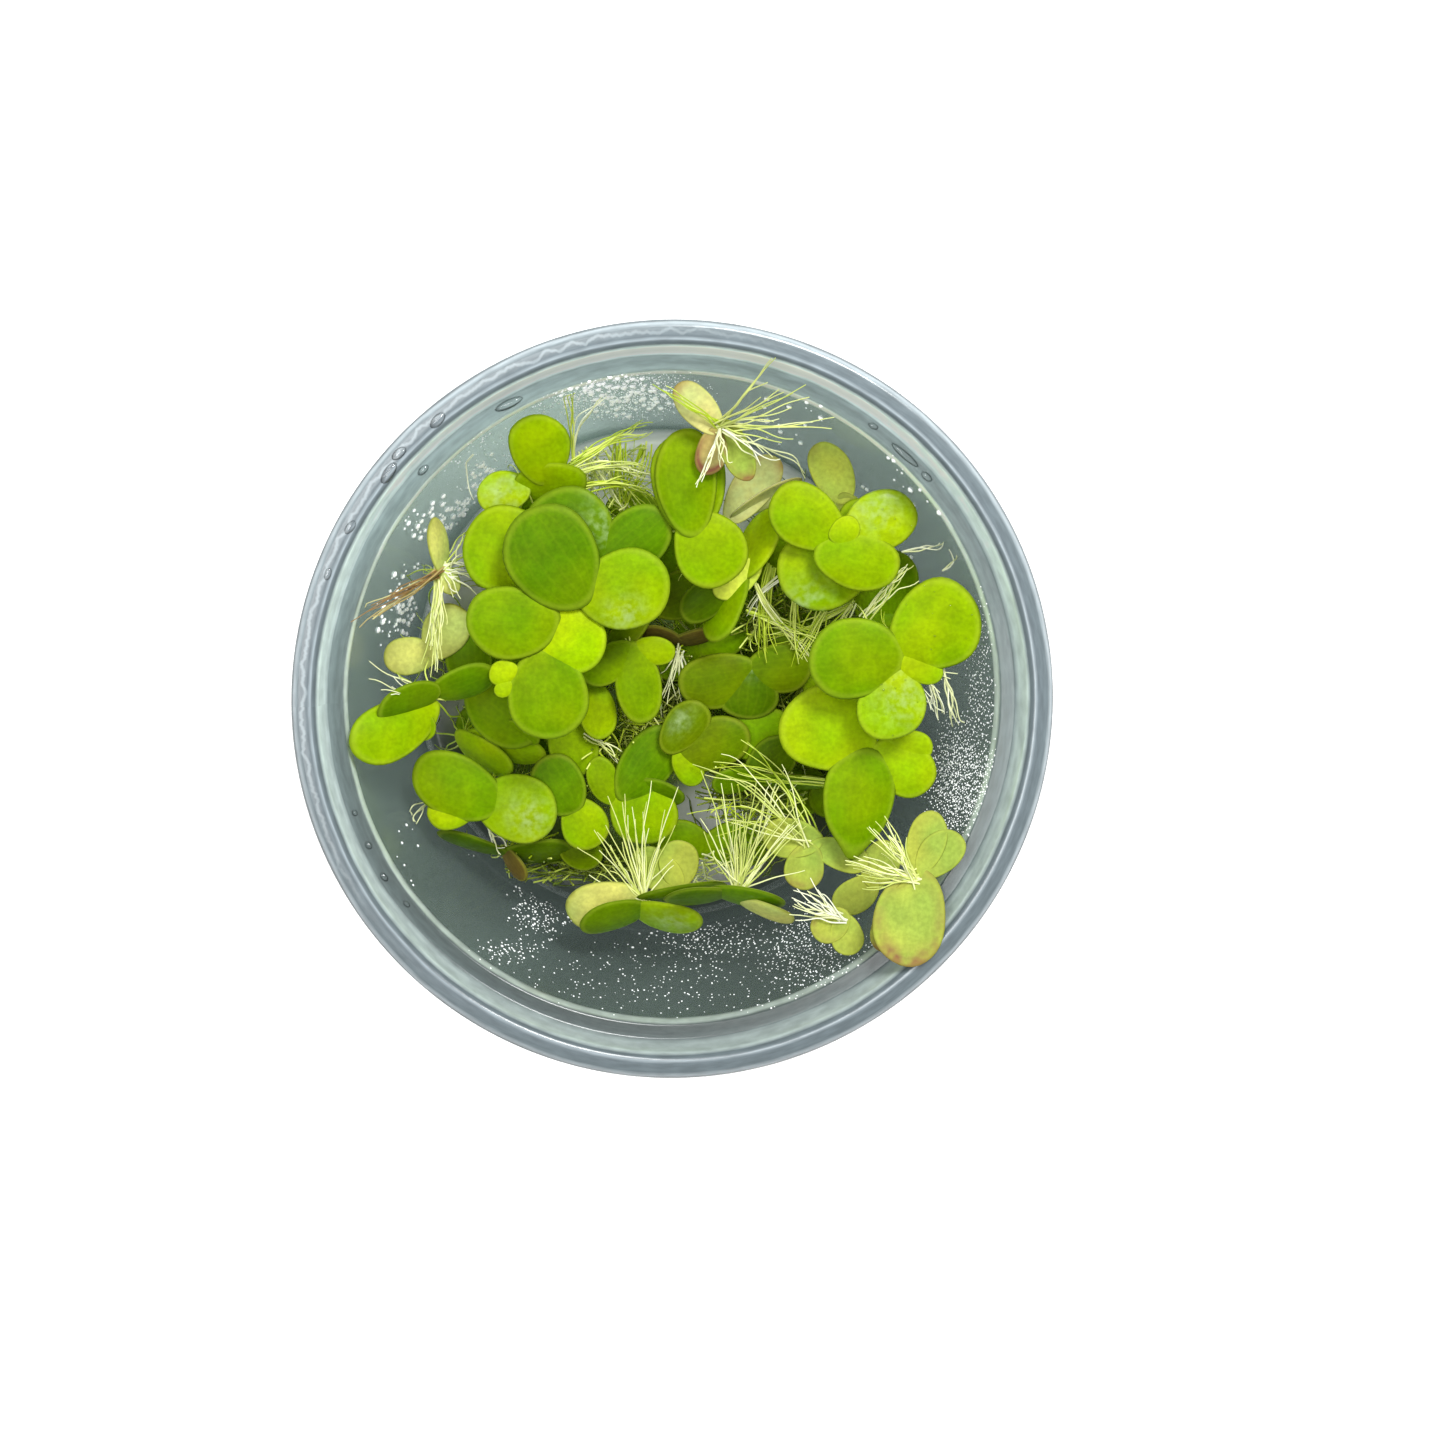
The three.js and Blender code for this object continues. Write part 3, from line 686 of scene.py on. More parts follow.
# The faces of one frond, shared by all: a grid on its upper side and one on its under side that meet at
# its edge
grid_ids = {}
grid_places = []
for side in (1, -1):
    for i in range(grid_rows + 1):
        for j in range(grid_columns + 1):
            at_end, at_rim = i in (0, grid_rows), j in (0, grid_columns)
            key = (i, 0, 0) if at_end else (i, j, 0) if at_rim else (i, j, side)
            if key not in grid_ids:
                grid_ids[key] = len(grid_places)
                grid_places.append((i, j, 0 if at_end or at_rim else side))
            grid_ids[i, j, side, "corner"] = grid_ids[key]
frond_faces, frond_uvs, frond_sides = [], [], []
for side in (1, -1):
    for i in range(grid_rows):
        for j in range(grid_columns):
            ring = [(i, j), (i + 1, j), (i + 1, j + 1), (i, j + 1)]
            ring = ring if side > 0 else ring[::-1]
            face = {grid_ids[p, q, side, "corner"]: (p, q) for p, q in ring}
            frond_faces.append(list(face))
            frond_uvs += [((q + 0.5) / (grid_columns + 1), p / grid_rows) for p, q in face.values()]
            frond_sides.append(0 if side > 0 else 1)
place_i, place_j, place_side = (np.array(column) for column in zip(*grid_places))
grid_along = -np.cos(math.pi * place_i / grid_rows)
half_width = np.sqrt(np.maximum(0, 1 - grid_along**2))
grid_across = np.sin(math.pi / 2 * (2 * place_j / grid_columns - 1)) * half_width
grid_across[(place_i == 0) | (place_i == grid_rows)] = 0
grid_edge = np.sqrt(grid_along**2 + grid_across**2)


def frond_points(leaf, face_down, chance):
    """The points of one fine frond: slightly uneven, thinning to its edge, and a little wavy there."""
    lean = chance.uniform(-0.05, 0.05)
    wave = chance.uniform(0, 2 * math.pi)
    x, y = frond_outline(grid_along, grid_across, leaf)
    x = x + leaf["peak"] * np.maximum(grid_along, 0) ** 14
    y = y + lean * leaf["width"] * (1 - grid_along**2)
    around = np.arctan2(grid_across, grid_along)
    uneven = 1 + 0.022 * np.sin(2 * around + 5 * wave) + 0.014 * np.sin(3 * around + 7 * wave)
    uneven = uneven + 0.007 * np.sin(6 * around + 3 * wave)
    x, y = leaf["length"] / 2 + (x - leaf["length"] / 2) * uneven, y * uneven
    ripple = 0.06 * np.sin(3 * around + wave) * grid_edge**3 * min(1, leaf["length"] / 6)
    dome = frond_dome * leaf["length"] * (1 - grid_edge**2)
    skin = frond_thickness / 2 * np.sqrt(np.maximum(0, 1 - grid_edge**6)) * place_side
    z = dome + ripple + skin
    return placed_frond(np.column_stack((x, y, -z if face_down else z)), leaf)


def wetness(leaf):
    """How wet each point of a frond is, from the middle and the size of its wet patch."""
    if not leaf["wet"]:
        return np.zeros(len(grid_along))
    along, across, size = leaf["wet"]
    return np.exp(-((grid_along - along) ** 2 + (grid_across - across) ** 2) / size**2)


def root_line(start, bend, end, chance, waver=0.35, steps=14):
    """A root's line from its start past its bend to its tip, wavering a little on its way."""
    start, bend, end = np.array(start, float), np.array(bend, float), np.array(end, float)
    t = np.linspace(0, 1, steps)[:, None]
    line = (1 - t) ** 2 * start + 2 * t * (1 - t) * bend + t**2 * end
    for turns in (0.7, 1.6):
        phase = np.array([chance.uniform(0, 2 * math.pi) for _ in range(3)])
        size = waver / turns * np.array([chance.uniform(0.3, 1) for _ in range(3)])
        line += t * size * np.sin(turns * 2 * math.pi * t + phase)
    return line


root_tints = {
    "pale": [(220, 226, 140), (234, 238, 180), (202, 214, 112)],
    "green": [(170, 194, 30), (192, 210, 60), (214, 226, 110)],
    "white": [(238, 240, 214), (226, 230, 180)],
    "brown": [(150, 116, 66), (190, 168, 104), (206, 200, 140)],
    "shade": [(100, 122, 24), (128, 146, 36), (158, 172, 66)],
}


def tuft_lines(each, face_down, chance):
    """The lines of one tuft, fanned about its own direction, and their colours."""
    lines = []
    for _ in range(each["count"]):
        angle = math.radians(each["turn"] + chance.gauss(0, each["spread"] / 2))
        reach = each["reach"] * chance.uniform(0.45, 1.0)
        climb = each["climb"] * chance.uniform(0.7, 1.0)
        out = np.array((math.cos(angle), math.sin(angle), 0))
        start = (chance.gauss(0, 0.35), chance.gauss(0, 0.35), 0.1)
        bend = out * 0.35 * reach + (0, 0, bend_of(climb, face_down) + chance.gauss(0, 0.2))
        end = out * reach + (0, 0, climb)
        lines.append((root_line(start, bend, end, chance), chance.choice(root_tints[each["tint"]])))
    return lines


def kept_inside(points):
    """Points of a root, moved off the cup's floor and wall where they would pass into them."""
    floor, clearance = inner_corners[0][1], 0.3
    wall_radii, wall_heights = zip(*inner_corners[2:5])
    height = np.maximum(points[:, 2], floor + clearance)
    radius = np.hypot(points[:, 0], points[:, 1])
    reach = np.interp(height, wall_heights, wall_radii) - clearance
    reach = np.where(height > ledge_top, radius, np.minimum(radius, reach))
    shrink = reach / np.maximum(radius, clearance)
    return np.column_stack((points[:, 0] * shrink, points[:, 1] * shrink, height))


def hanging_lines(level, count, tint, chance):
    """Roots that hang from the node into the heap and spread there, wider where there are many."""
    widest = 6 if count < 20 else 9
    lines = []
    for _ in range(count):
        angle = chance.uniform(0, 2 * math.pi)
        drop = min(chance.uniform(8, 14), level - 2)
        reach = chance.uniform(1, widest)
        side = np.array((math.cos(angle), math.sin(angle), 0))
        bend = side * reach * 0.7 + (0, 0, -0.2 * drop)
        line = root_line((0, 0, -0.1), bend, side * reach + (0, 0, -drop), chance, 0.6)
        lines.append((line, chance.choice(root_tints[tint])))
    return lines


def frond_material(name, underside):
    """The skin of a frond's upper side, or of its under side, which is paler and redder at the tip."""
    if underside:
        vein_paint, aged_paint, edge_paint = paint(206, 216, 120), paint(132, 88, 66), paint(112, 108, 44)
        edge_start = 0.5
    else:
        vein_paint, aged_paint, edge_paint = paint(190, 210, 40), paint(104, 84, 22), paint(56, 78, 0)
        edge_start = 0.8
    material, add = new_material(name)
    tone = add("ShaderNodeAttribute", attribute_name="tone").outputs["Color"]
    edge = add("ShaderNodeAttribute", attribute_name="edge").outputs["Fac"]
    blush = add("ShaderNodeAttribute", attribute_name="blush").outputs["Fac"]
    wet = add("ShaderNodeAttribute", attribute_name="wet").outputs["Fac"]
    place = add("ShaderNodeTexCoord").outputs["Object"]
    leaf = add("ShaderNodeSeparateXYZ", {0: add("ShaderNodeUVMap", uv_map="leaf").outputs[0]})
    broad = noise(add, place, 170, 1)
    cloudy = noise(add, place, 420, 3)
    cells = noise(add, place, 2200, 4)

    # Veins that fan from the node to the tip, wavering a little
    ribs = worked(add, "MULTIPLY_ADD", leaf.outputs[0], 11, worked(add, "MULTIPLY", cloudy, 0.9))
    ribs = worked(add, "PINGPONG", ribs, 0.5)
    veins = fade(add, ribs, 0, 0.2, 1, 0, "SMOOTHSTEP")

    # The green, drifting between bluer and yellower, lighter over the veins and mottled
    body = covered(add, 0.4, paint(186, 194, 92), tone) if underside else tone
    drift = covered(add, fade(add, broad, 0.35, 0.65), (0.86, 0.97, 1, 1), (1.14, 1.04, 1, 1))
    body = add("ShaderNodeVectorMath", {0: body, 1: drift}, operation="MULTIPLY").outputs[0]
    mottle = fade(add, cloudy, 0.3, 0.7, 0.86, 1.12)
    speckle = fade(add, cells, 0.35, 0.65, 0.9, 1.1)
    body = scaled(add, body, worked(add, "MULTIPLY", mottle, speckle))
    body = covered(add, worked(add, "MULTIPLY", veins, 0.03), body, vein_paint)

    # Reddish brown where the frond ages, from its tip inwards, and all round a thin painted highlight just
    # inside a thin dark edge
    rim = fade(add, edge, edge_start, 1, kind="SMOOTHSTEP")
    to_tip = fade(add, leaf.outputs[1], 0.45, 0.95, 0.25)
    aged = worked(add, "MULTIPLY", worked(add, "MULTIPLY", rim, blush), to_tip)
    aged = worked(add, "MULTIPLY", aged, fade(add, cloudy, 0.35, 0.6))
    body = covered(add, aged, body, aged_paint)
    painted_edge_highlight = fade(add, edge, 0.82, 0.93, 0, 0.12, "SMOOTHSTEP")
    body = covered(add, painted_edge_highlight, body, paint(206, 224, 70))
    dark_edge = fade(add, edge, 0.93, 0.99, 0, 0.4, "SMOOTHSTEP")
    body = covered(add, dark_edge, body, edge_paint)

    # Patches of water on the skin: glossier there, with a painted grey-green sheen broken into streaks
    painted_wet_sheen = fade(add, noise(add, place, 1100, 4), 0.42, 0.68, 0, 0.5)
    painted_wet_sheen = worked(add, "MULTIPLY", painted_wet_sheen, wet)
    body = covered(add, painted_wet_sheen, body, paint(168, 192, 136))
    roughness = fade(add, wet, 0, 1, 0.42, 0.2)
    gloss = worked(add, "MULTIPLY", wet, 0.4)

    relief = worked(add, "MULTIPLY_ADD", veins, 0.08, cells)
    bump = add("ShaderNodeBump", {"Height": relief, "Strength": 0.2, "Distance": 0.06 * mm}).outputs[0]
    skin = add(
        "ShaderNodeBsdfPrincipled",
        {"Base Color": body, "Roughness": roughness, "Normal": bump, "Specular IOR Level": 0.03,
         "Coat Weight": gloss, "Coat Roughness": 0.2},
    )
    through = add("ShaderNodeBsdfTranslucent", {"Color": body})
    both = add("ShaderNodeMixShader", {0: 0.3, 1: skin.outputs[0], 2: through.outputs[0]})
    add("ShaderNodeOutputMaterial", {"Surface": both.outputs[0]})
    return material


frond_top = frond_material("Frond upper skin", False)
frond_under = frond_material("Frond under skin", True)

root_skin, add = new_material("Root skin")
root_tint = add("ShaderNodeAttribute", attribute_name="tone").outputs["Color"]
root_shell = add("ShaderNodeBsdfPrincipled", {"Base Color": root_tint, "Roughness": 0.4})
root_glow = add("ShaderNodeBsdfTranslucent", {"Color": root_tint})
root_both = add("ShaderNodeMixShader", {0: 0.3, 1: root_shell.outputs[0], 2: root_glow.outputs[0]})
add("ShaderNodeOutputMaterial", {"Surface": root_both.outputs[0]})


root_tree, add, given = geometry_tree(
    "Root strands",
    [("Root radius", "Float", 0.11 * mm), ("Tip share", "Float", 0.45), ("Sides", "Int", 5),
     ("Material", "Material", None)],
)
strands = add("GeometryNodeMeshToCurve", {"Mesh": given["Geometry"]})
way_along = add("GeometryNodeSplineParameter").outputs["Factor"]
taper = fade(add, way_along, 0, 1, 1, given["Tip share"])
breadth = worked(add, "MULTIPLY", given["Root radius"], taper)
section = add("GeometryNodeCurvePrimitiveCircle", {"Resolution": given["Sides"], "Radius": 1.0})
roots = add(
    "GeometryNodeCurveToMesh",
    {"Curve": strands.outputs[0], "Profile Curve": section.outputs[0], "Scale": breadth, "Fill Caps": True},
)
roots = add("GeometryNodeSetShadeSmooth", {"Geometry": roots.outputs[0]})
roots = add("GeometryNodeRealizeInstances", {"Geometry": roots.outputs[0]})
roots = add("GeometryNodeSetMaterial", {"Geometry": roots.outputs[0], "Material": given["Material"]})
add("NodeGroupOutput", {"Geometry": roots.outputs[0]})

dewy_corners, dewy_faces, dewiness = [], [], []


def grown_fronds(name, fronds, home, face_down, chance):
    """One plant's fronds as a piece. Those with dew are noted for the drops on them."""
    corners, faces, uvs, sides = [], [], [], []
    tone, edge, blush, wet = [], [], [], []
    for leaf in fronds:
        points = frond_points(leaf, face_down, chance) + home
        first = sum(len(each) for each in corners)
        corners.append(points)
        faces += [[first + k for k in face] for face in frond_faces]
        uvs += frond_uvs
        sides += frond_sides
        tone += [tones[leaf["tone"]]] * len(points)
        edge += list(grid_edge)
        blush += [leaf["blush"]] * len(points)
        wet += list(wetness(leaf))
        if leaf["dew"]:
            start = sum(len(each) for each in dewy_corners)
            dewy_corners.append(points)
            dewiness.extend([leaf["dew"]] * len(points))
            shown = 1 if face_down else 0
            kept = [face for face, side in zip(frond_faces, frond_sides) if side == shown]
            dewy_faces.extend([[start + k for k in face] for face in kept])
    mesh = bpy.data.meshes.new(name + "_fronds")
    faces = [face[::-1] for face in faces] if face_down else faces
    mesh.from_pydata(np.concatenate(corners) * mm, [], faces)
    mesh.materials.append(frond_top)
    mesh.materials.append(frond_under)
    mesh.polygons.foreach_set("material_index", sides)
    mesh.attributes.new("tone", "FLOAT_COLOR", "POINT").data.foreach_set("color", np.ravel(tone))
    mesh.attributes.new("edge", "FLOAT", "POINT").data.foreach_set("value", edge)
    mesh.attributes.new("blush", "FLOAT", "POINT").data.foreach_set("value", blush)
    mesh.attributes.new("wet", "FLOAT", "POINT").data.foreach_set("value", wet)
    leaf_map = mesh.uv_layers.new(name="leaf")
    if face_down:
        sizes = [len(face) for face in faces]
        ends = np.cumsum(sizes)
        uvs = [uv for size, end in zip(sizes, ends) for uv in uvs[end - size:end][::-1]]
    leaf_map.data.foreach_set("uv", np.ravel(uvs))
    mesh.shade_smooth()
    grown = put(name + "_fronds", mesh)
    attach(grown, "root")
    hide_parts(name)


def grown_roots(name, lines):
    """One plant's roots as a piece of fine strands along the lines."""
    points, edges, tints = [], [], []
    for line, colour in lines:
        edges += [(len(points) + k, len(points) + k + 1) for k in range(len(line) - 1)]
        points += list(kept_inside(line) * mm)
        tints += [paint(*colour)] * len(line)
    paths = bpy.data.meshes.new(name + "_root_paths")
    paths.from_pydata(points, edges, [])
    paths.attributes.new("tone", "FLOAT_COLOR", "POINT").data.foreach_set("color", np.ravel(tints))
    rooted = shaped(name + "_roots", paths, root_tree, {"Material": root_skin})
    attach(rooted, "root")
    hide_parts(name)


def plant(name, spot, fronds, tufts=(), face_down=False, hang=14, tint="green", strays=()):
    """Builds one plant's fronds and roots where its solid lies."""
    chance = Random(name)
    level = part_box(name)[1].z / mm - top_of_solid(fronds, tufts, face_down)
    home = np.array((*spot, level))
    grown_fronds(name, fronds, home, face_down, chance)
    lines = [line for each in tufts for line in tuft_lines(each, face_down, chance)]
    lines += hanging_lines(level, hang, tint, chance)
    lines = [(line + home, colour) for line, colour in lines] + list(strays)
    if lines:
        grown_roots(name, lines)


def stray(points, count, spread, tint, seed):
    """Roots that lie where the camera sees them: past three places, fanned out towards the last."""
    chance = Random(seed)
    start, bend, end = (np.array(seen_at(*point)) for point in points)
    lines = []
    for _ in range(count):
        shift = np.array([chance.gauss(0, spread) for _ in range(3)]) * (1, 1, 0.3)
        slip = np.array([chance.gauss(0, spread) for _ in range(3)]) * (0.4, 0.4, 0.3)
        line = root_line(start + slip, bend + shift * 0.5 + slip, end + shift, chance, 0.5)
        lines.append((line, chance.choice(root_tints[tint])))
    return lines


def tangle(middle, half, low, high, count, tint, seed):
    """Roots that cross each other in a gap where the camera sees it, between two heights."""
    chance = Random(seed)
    lines = []
    for _ in range(count):
        ends = []
        for height in (high, (low + high) / 2, low):
            angle, out = chance.uniform(0, 2 * math.pi), math.sqrt(chance.random())
            x, y = middle[0] + half[0] * out * math.cos(angle), middle[1] + half[1] * out * math.sin(angle)
            ends.append(seen_at(x, y, height + chance.uniform(-1, 1)))
        lines.append((root_line(*ends, chance, 0.5), chance.choice(root_tints[tint])))
    return lines


# Plants at the bottom of the heap
# They stand on the cup's floor on their roots and show only as green depth in the gaps.
def hidden_plants(layer, rows):
    """Plain plants of two fronds: where each is, how many roots hang from it, and its fronds' sizes."""
    for number, (spot, roots, *sizes) in enumerate(rows, 1):
        fronds = [frond(*each) for each in sizes]
        plant(f"{layer}_plant_{number}", spot, fronds, hang=roots, tint="shade")


hidden_plants("bottom", [
    ((-15, 12), 50, (150, 8, 7), (20, 7, 5.5)),
    ((-3, 14), 18, (100, 8, 7), (-30, 7, 5.5)),
    ((12, 12), 50, (60, 8, 7), (190, 7, 5.5)),
    ((20, 2), 50, (20, 8, 7), (150, 7, 5.5)),
    ((5, 2), 50, (-30, 8, 7), (110, 7, 5.5)),
    ((-8, 2), 50, (200, 8, 7), (70, 7, 5.5)),
    ((-16, -7), 50, (160, 8, 7), (10, 7, 5.5)),
    ((12, -11), 50, (-20, 7, 6), (130, 7, 5.5)),
    ((22, -12), 50, (90, 7, 6), (200, 6, 5)),
])

# Plants in the middle of the heap
# Mostly hidden, they carry the ones on top, and their roots hang between them.
hidden_plants("middle", [
    ((-14, 15), 18, (120, 8, 7), (-10, 8, 5.5)),
    ((-15, 4), 50, (170, 8, 7), (60, 7, 5.5)),
    ((0, 15), 18, (45, 7, 6), (-120, 7, 5.5)),
    ((14, 16), 50, (30, 8, 7), (200, 7, 5.5)),
    ((22, 8), 50, (60, 8, 7), (-40, 7, 5.5)),
    ((20, -7), 50, (0, 7, 6), (150, 7, 5.5)),
    ((12, 7), 50, (30, 8, 6.5), (170, 7, 5.5)),
    ((15.5, 1), 50, (-20, 8, 6.5), (110, 7, 5.5)),
    ((13.5, -4.5), 50, (190, 7, 6), (20, 7, 5.5)),
    ((3.5, 4.5), 50, (20, 6, 5), (200, 6, 5.5)),
    ((-8, -8), 50, (-35, 8, 6), (140, 7, 5.5)),
    ((4.5, -18.5), 10, (5, 7, 5.5), (170, 6.5, 5)),
])

# Plants low in the heap
# They show in its gaps and at its edges. Some of the smaller ones are ageing, olive and brown.
plant("low_left_edge", (-18.2, -18.6), [
    frond(163, 8, 4, roll=-60, tone="shade"),
    frond(-60, 4, 3, (0.2, 0.1), roll=50, tone="brown", blush=0.6),
    frond(2, 7.5, 5, (0.3, 0), roll=50, tone="shade"),
    frond(-12, 4.5, 3.5, (6.6, 0.2), tone="olive"),
], strays=[
    *tangle((-13, -17), (5, 2), 6, 12, 50, "shade", 1),
    *tangle((-8, -17), (5, 2.5), 5, 12, 60, "shade", 3),
    *tangle((-15, -14.5), (4, 2), 8, 13, 20, "green", 2),
])
plant("low_left_pair", (-22.6, -5.2), [
    frond(-38, 7, 5, (-0.3, 0), roll=45, tone="fresh"),
    frond(-17, 9, 5.4, (0.4, 0), roll=45, tone="fresh"),
])
plant("low_left_inner", (-12, -4.2), [frond(-60, 6, 5.5), frond(150, 6, 5)], strays=[
    *tangle((-7, -6), (3.5, 4), 9, 15, 44, "shade", 1),
    *tangle((-7, -5), (3, 3), 11, 16, 14, "green", 3),
    *tangle((-7.5, -7), (2.8, 2.8), 7, 11, 60, "green", 4),
    *stray([(-9.4, -3, 16), (-7.4, -4, 16), (-5, -6, 15)], 5, 0.6, "pale", 2),
])
plant("low_left_yellow", (-10.5, -13), [
    frond(-65, 5.3, 5.4, tone="bright", blush=0.5),
    frond(120, 6.8, 6, (0, -0.4), lift=0.3, tone="deep", blush=0.5),
])
plant("low_middle_brown", (1.1, 4.4), [
    frond(165, 4.5, 4, (0, 1), roll=-60, tone="brown", blush=0.8),
    frond(10, 4.2, 4, (0, 1), roll=60, tone="brown", blush=0.8),
], [tuft(-100, 7, -1, 12, 44, "white")], strays=[
    *tangle((-1, 1), (4, 6), 8, 15, 60, "shade", 1),
    *tangle((-1, 0), (3, 4), 10, 16, 12, "pale", 2),
    *tangle((-3.6, -1.8), (2.8, 2.8), 8, 12, 80, "green", 3),
])
plant("low_middle_olive", (-2, 8.5), [
    frond(30, 6.3, 5.3, (0.5, 0.5), tone="olive", blush=0.6),
    frond(-136, 5.8, 3.4, (-0.5, -0.3), roll=30, tone="olive", blush=0.9),
])
plant("low_middle_pair", (-4.4, -10.7), [
    frond(-72, 7.6, 7.4, (0.6, 0.6), tone="bright", blush=0.3),
    frond(52, 9.5, 5.8, (-0.8, -1.2), lift=0.3, tone="deep"),
    frond(112, 5, 3.6, (-1.8, -1.6), tone="mid"),
    frond(-20, 5.2, 4, (1.3, 0), roll=45, tone="deep"),
])
plant("low_right_olive", (9.2, 2), [
    frond(192, 8.2, 6.2, tone="olive", blush=0.3),
    frond(5, 6.8, 5.8, tone="olive", blush=0.4),
    frond(-98, 5.4, 7, tone="shade", blush=0.4, wet=(-0.9, 0, 0.35)),
], strays=[
    *tangle((11, 8.5), (5.5, 4.5), 8, 16, 90, "shade", 1),
    *tangle((11, 8.5), (5.5, 4.5), 10, 16, 24, "green", 3),
    *tangle((12.5, -1.5), (3.5, 3), 9, 15, 40, "shade", 2),
    *tangle((16, 12), (5, 3), 8, 17, 50, "shade", 4),
])
plant("low_right_narrow", (9.3, -10), [
    frond(-4, 8.5, 5, roll=65, tone="deep"),
    frond(42, 6, 5, tone="shade"),
    frond(190, 4.5, 3.5, roll=-25, tone="deep"),
], strays=[
    *tangle((8, -9.5), (6, 4), 8, 15, 70, "shade", 1),
    *tangle((8, -9.5), (6, 4), 11, 17, 30, "green", 2),
])
plant("low_pale_middle", (1, -21.5), [
    frond(85, 4.8, 4.5),
    frond(150, 6, 4.5),
], face_down=True, hang=0, strays=[
    *tangle((9, -15.5), (4, 3), 8, 15, 30, "shade", 1),
    *tangle((4, -17.5), (5, 3), 10, 16, 26, "pale", 2),
])
plant("left_edge_pair", (-19.7, -12.2), [
    frond(-20, 8.6, 7.5, (-0.9, 0.4), tone="bright", wet=(0.35, -0.1, 0.5)),
    frond(155, 10, 7.2, (0.8, -0.3), lift=0.2, tone="mid", blush=0.2),
    frond(200, 5.4, 4.2, (-1.8, -0.3), tone="fresh"),
], strays=[
    *stray([(-19.6, -12.6, 15), (-19.2, -14, 15), (-18.6, -15.2, 14)], 5, 0.3, "white", 1),
    *stray([(-25.6, -10, 15), (-27, -10.6, 16), (-28.2, -12, 16)], 4, 0.3, "white", 2),
])
plant("centre_pair", (1.2, -7), [
    frond(50, 6.2, 4.7, (-1.2, 0.6), lift=0.3, tone="olive", blush=0.4, wet=(0.1, 0.3, 0.4)),
    frond(20, 8.4, 5.7, (-0.1, -0.5), tone="olive", blush=0.5),
    frond(-60, 4.2, 3.2, tone="bright", blush=0.4),
])
plant("centre_small", (-8.2, 0.3), [
    frond(-80, 5.8, 4.2, tone="bright"),
    frond(100, 5, 4, tone="mid"),
])
plant("centre_left", (-4.3, 4.8), [
    frond(-80, 8.4, 5.2, tone="mid", blush=0.3),
    frond(215, 6.3, 4.2, tone="mid", blush=0.3),
    frond(-10, 4.2, 3.2, (0.8, 0), tone="bright", blush=0.3),
])
plant("left_under", (-21.5, 0.5), [
    frond(-40, 9.2, 6.8, tone="mid"),
    frond(95, 6, 5.2, tone="deep"),
    frond(-30, 4, 3, (3.8, -4.2), roll=45, tone="mid"),
])
plant("centre_strip", (7.9, 12.8), [
    frond(63, 8, 6, roll=-55, tone="fresh"),
    frond(-117, 8, 6, roll=55, tone="mid"),
    frond(215, 6.3, 4.2, (-1.4, -1), tone="shade"),
    frond(215, 5.8, 3.4, (1.6, 1.2), lift=0.6, tone="light", blush=0),
])

# Plants round the side of the cup
# They lean on its wall or cling to it by their wet roots. Two old plants on the left have gone pale and
# brown, and those at the bottom right and at the back lie upside down.
plant("left_wall_old", (-25.8, 4.3), [
    frond(60, 6, 5, tone="aged", blush=0.8),
    frond(188, 5.4, 4.2, tone="aged", blush=0.4),
])
plant("left_wall_rooted", (-24.7, 13.5), [
    frond(98, 5.7, 4.5, roll=64, tone="aged", blush=0.8),
    frond(-60, 3, 2.5, tone="aged"),
], [tuft(-96, 11.5, 1, 34, 5), tuft(-15, 4.6, 1, 16, 60, "white"), tuft(209, 11.2, 11, 14, 8, "brown")])
plant("left_wall_pair", (-25.5, 0), [
    frond(203, 10.8, 6.2, (0, -1), rise=29, tone="bright"),
    frond(197, 7.2, 4.4, (0.3, 0.8), rise=27, roll=-35, lift=0.6, tone="deep"),
    frond(19, 7.2, 4.6, (0, 0.6), roll=38, tone="deep"),
    frond(-75, 2.9, 2.8, (-1.6, -1.7), lift=0.6, tone="mid"),
], [tuft(157, 8.6, 5, 7, 24, "white")])
plant("top_left_wall", (-15.6, 22.2), [
    frond(0, 7.2, 5.8, (-0.6, 0.7), roll=40, tone="bright"),
    frond(107, 7.6, 6.6, (2.4, 1.2), rise=25, lift=0.6, tone="bright"),
    frond(190, 5.2, 4.5, tone="fresh", wet=(0, 0, 0.8), dew=1),
], strays=[
    *stray([(-10.8, 25, 22), (-6.5, 27.4, 21), (-3.4, 28.6, 20)], 10, 0.6, "green", 1),
    *stray([(-10.2, 24.2, 22), (-7, 25.4, 21), (-2.6, 24.6, 20)], 10, 0.5, "pale", 2),
    *stray([(-9.6, 22.6, 22), (-6, 24, 20), (-2.4, 21.4, 18)], 12, 0.8, "green", 3),
    *stray([(-5.8, 27.2, 20), (-6, 23, 18), (-5, 18.8, 16)], 10, 0.9, "green", 4),
    *stray([(-9.2, 26.4, 20), (-7.6, 22.4, 19), (-3.8, 19, 16)], 10, 0.9, "pale", 5),
    *stray([(-3, 27, 19), (-3.6, 23, 18), (-6.6, 19.6, 16)], 10, 0.8, "green", 6),
    *stray([(-10.6, 25.6, 22), (-10.4, 29.6, 24), (-11.2, 34, 29)], 4, 0.25, "green", 7),
    *stray([(-10.6, 26, 22), (-10.6, 29.8, 24), (-7.2, 31.6, 26)], 3, 0.2, "white", 8),
    *stray([(-21.3, 26.5, 25), (-22.6, 23.6, 23), (-20.6, 21.6, 21)], 1, 0.1, "white", 9),
])
plant("bottom_right_low", (22.3, -21.2), [
    frond(70, 5, 4.2),
    frond(215, 5, 4),
], face_down=True, hang=0)
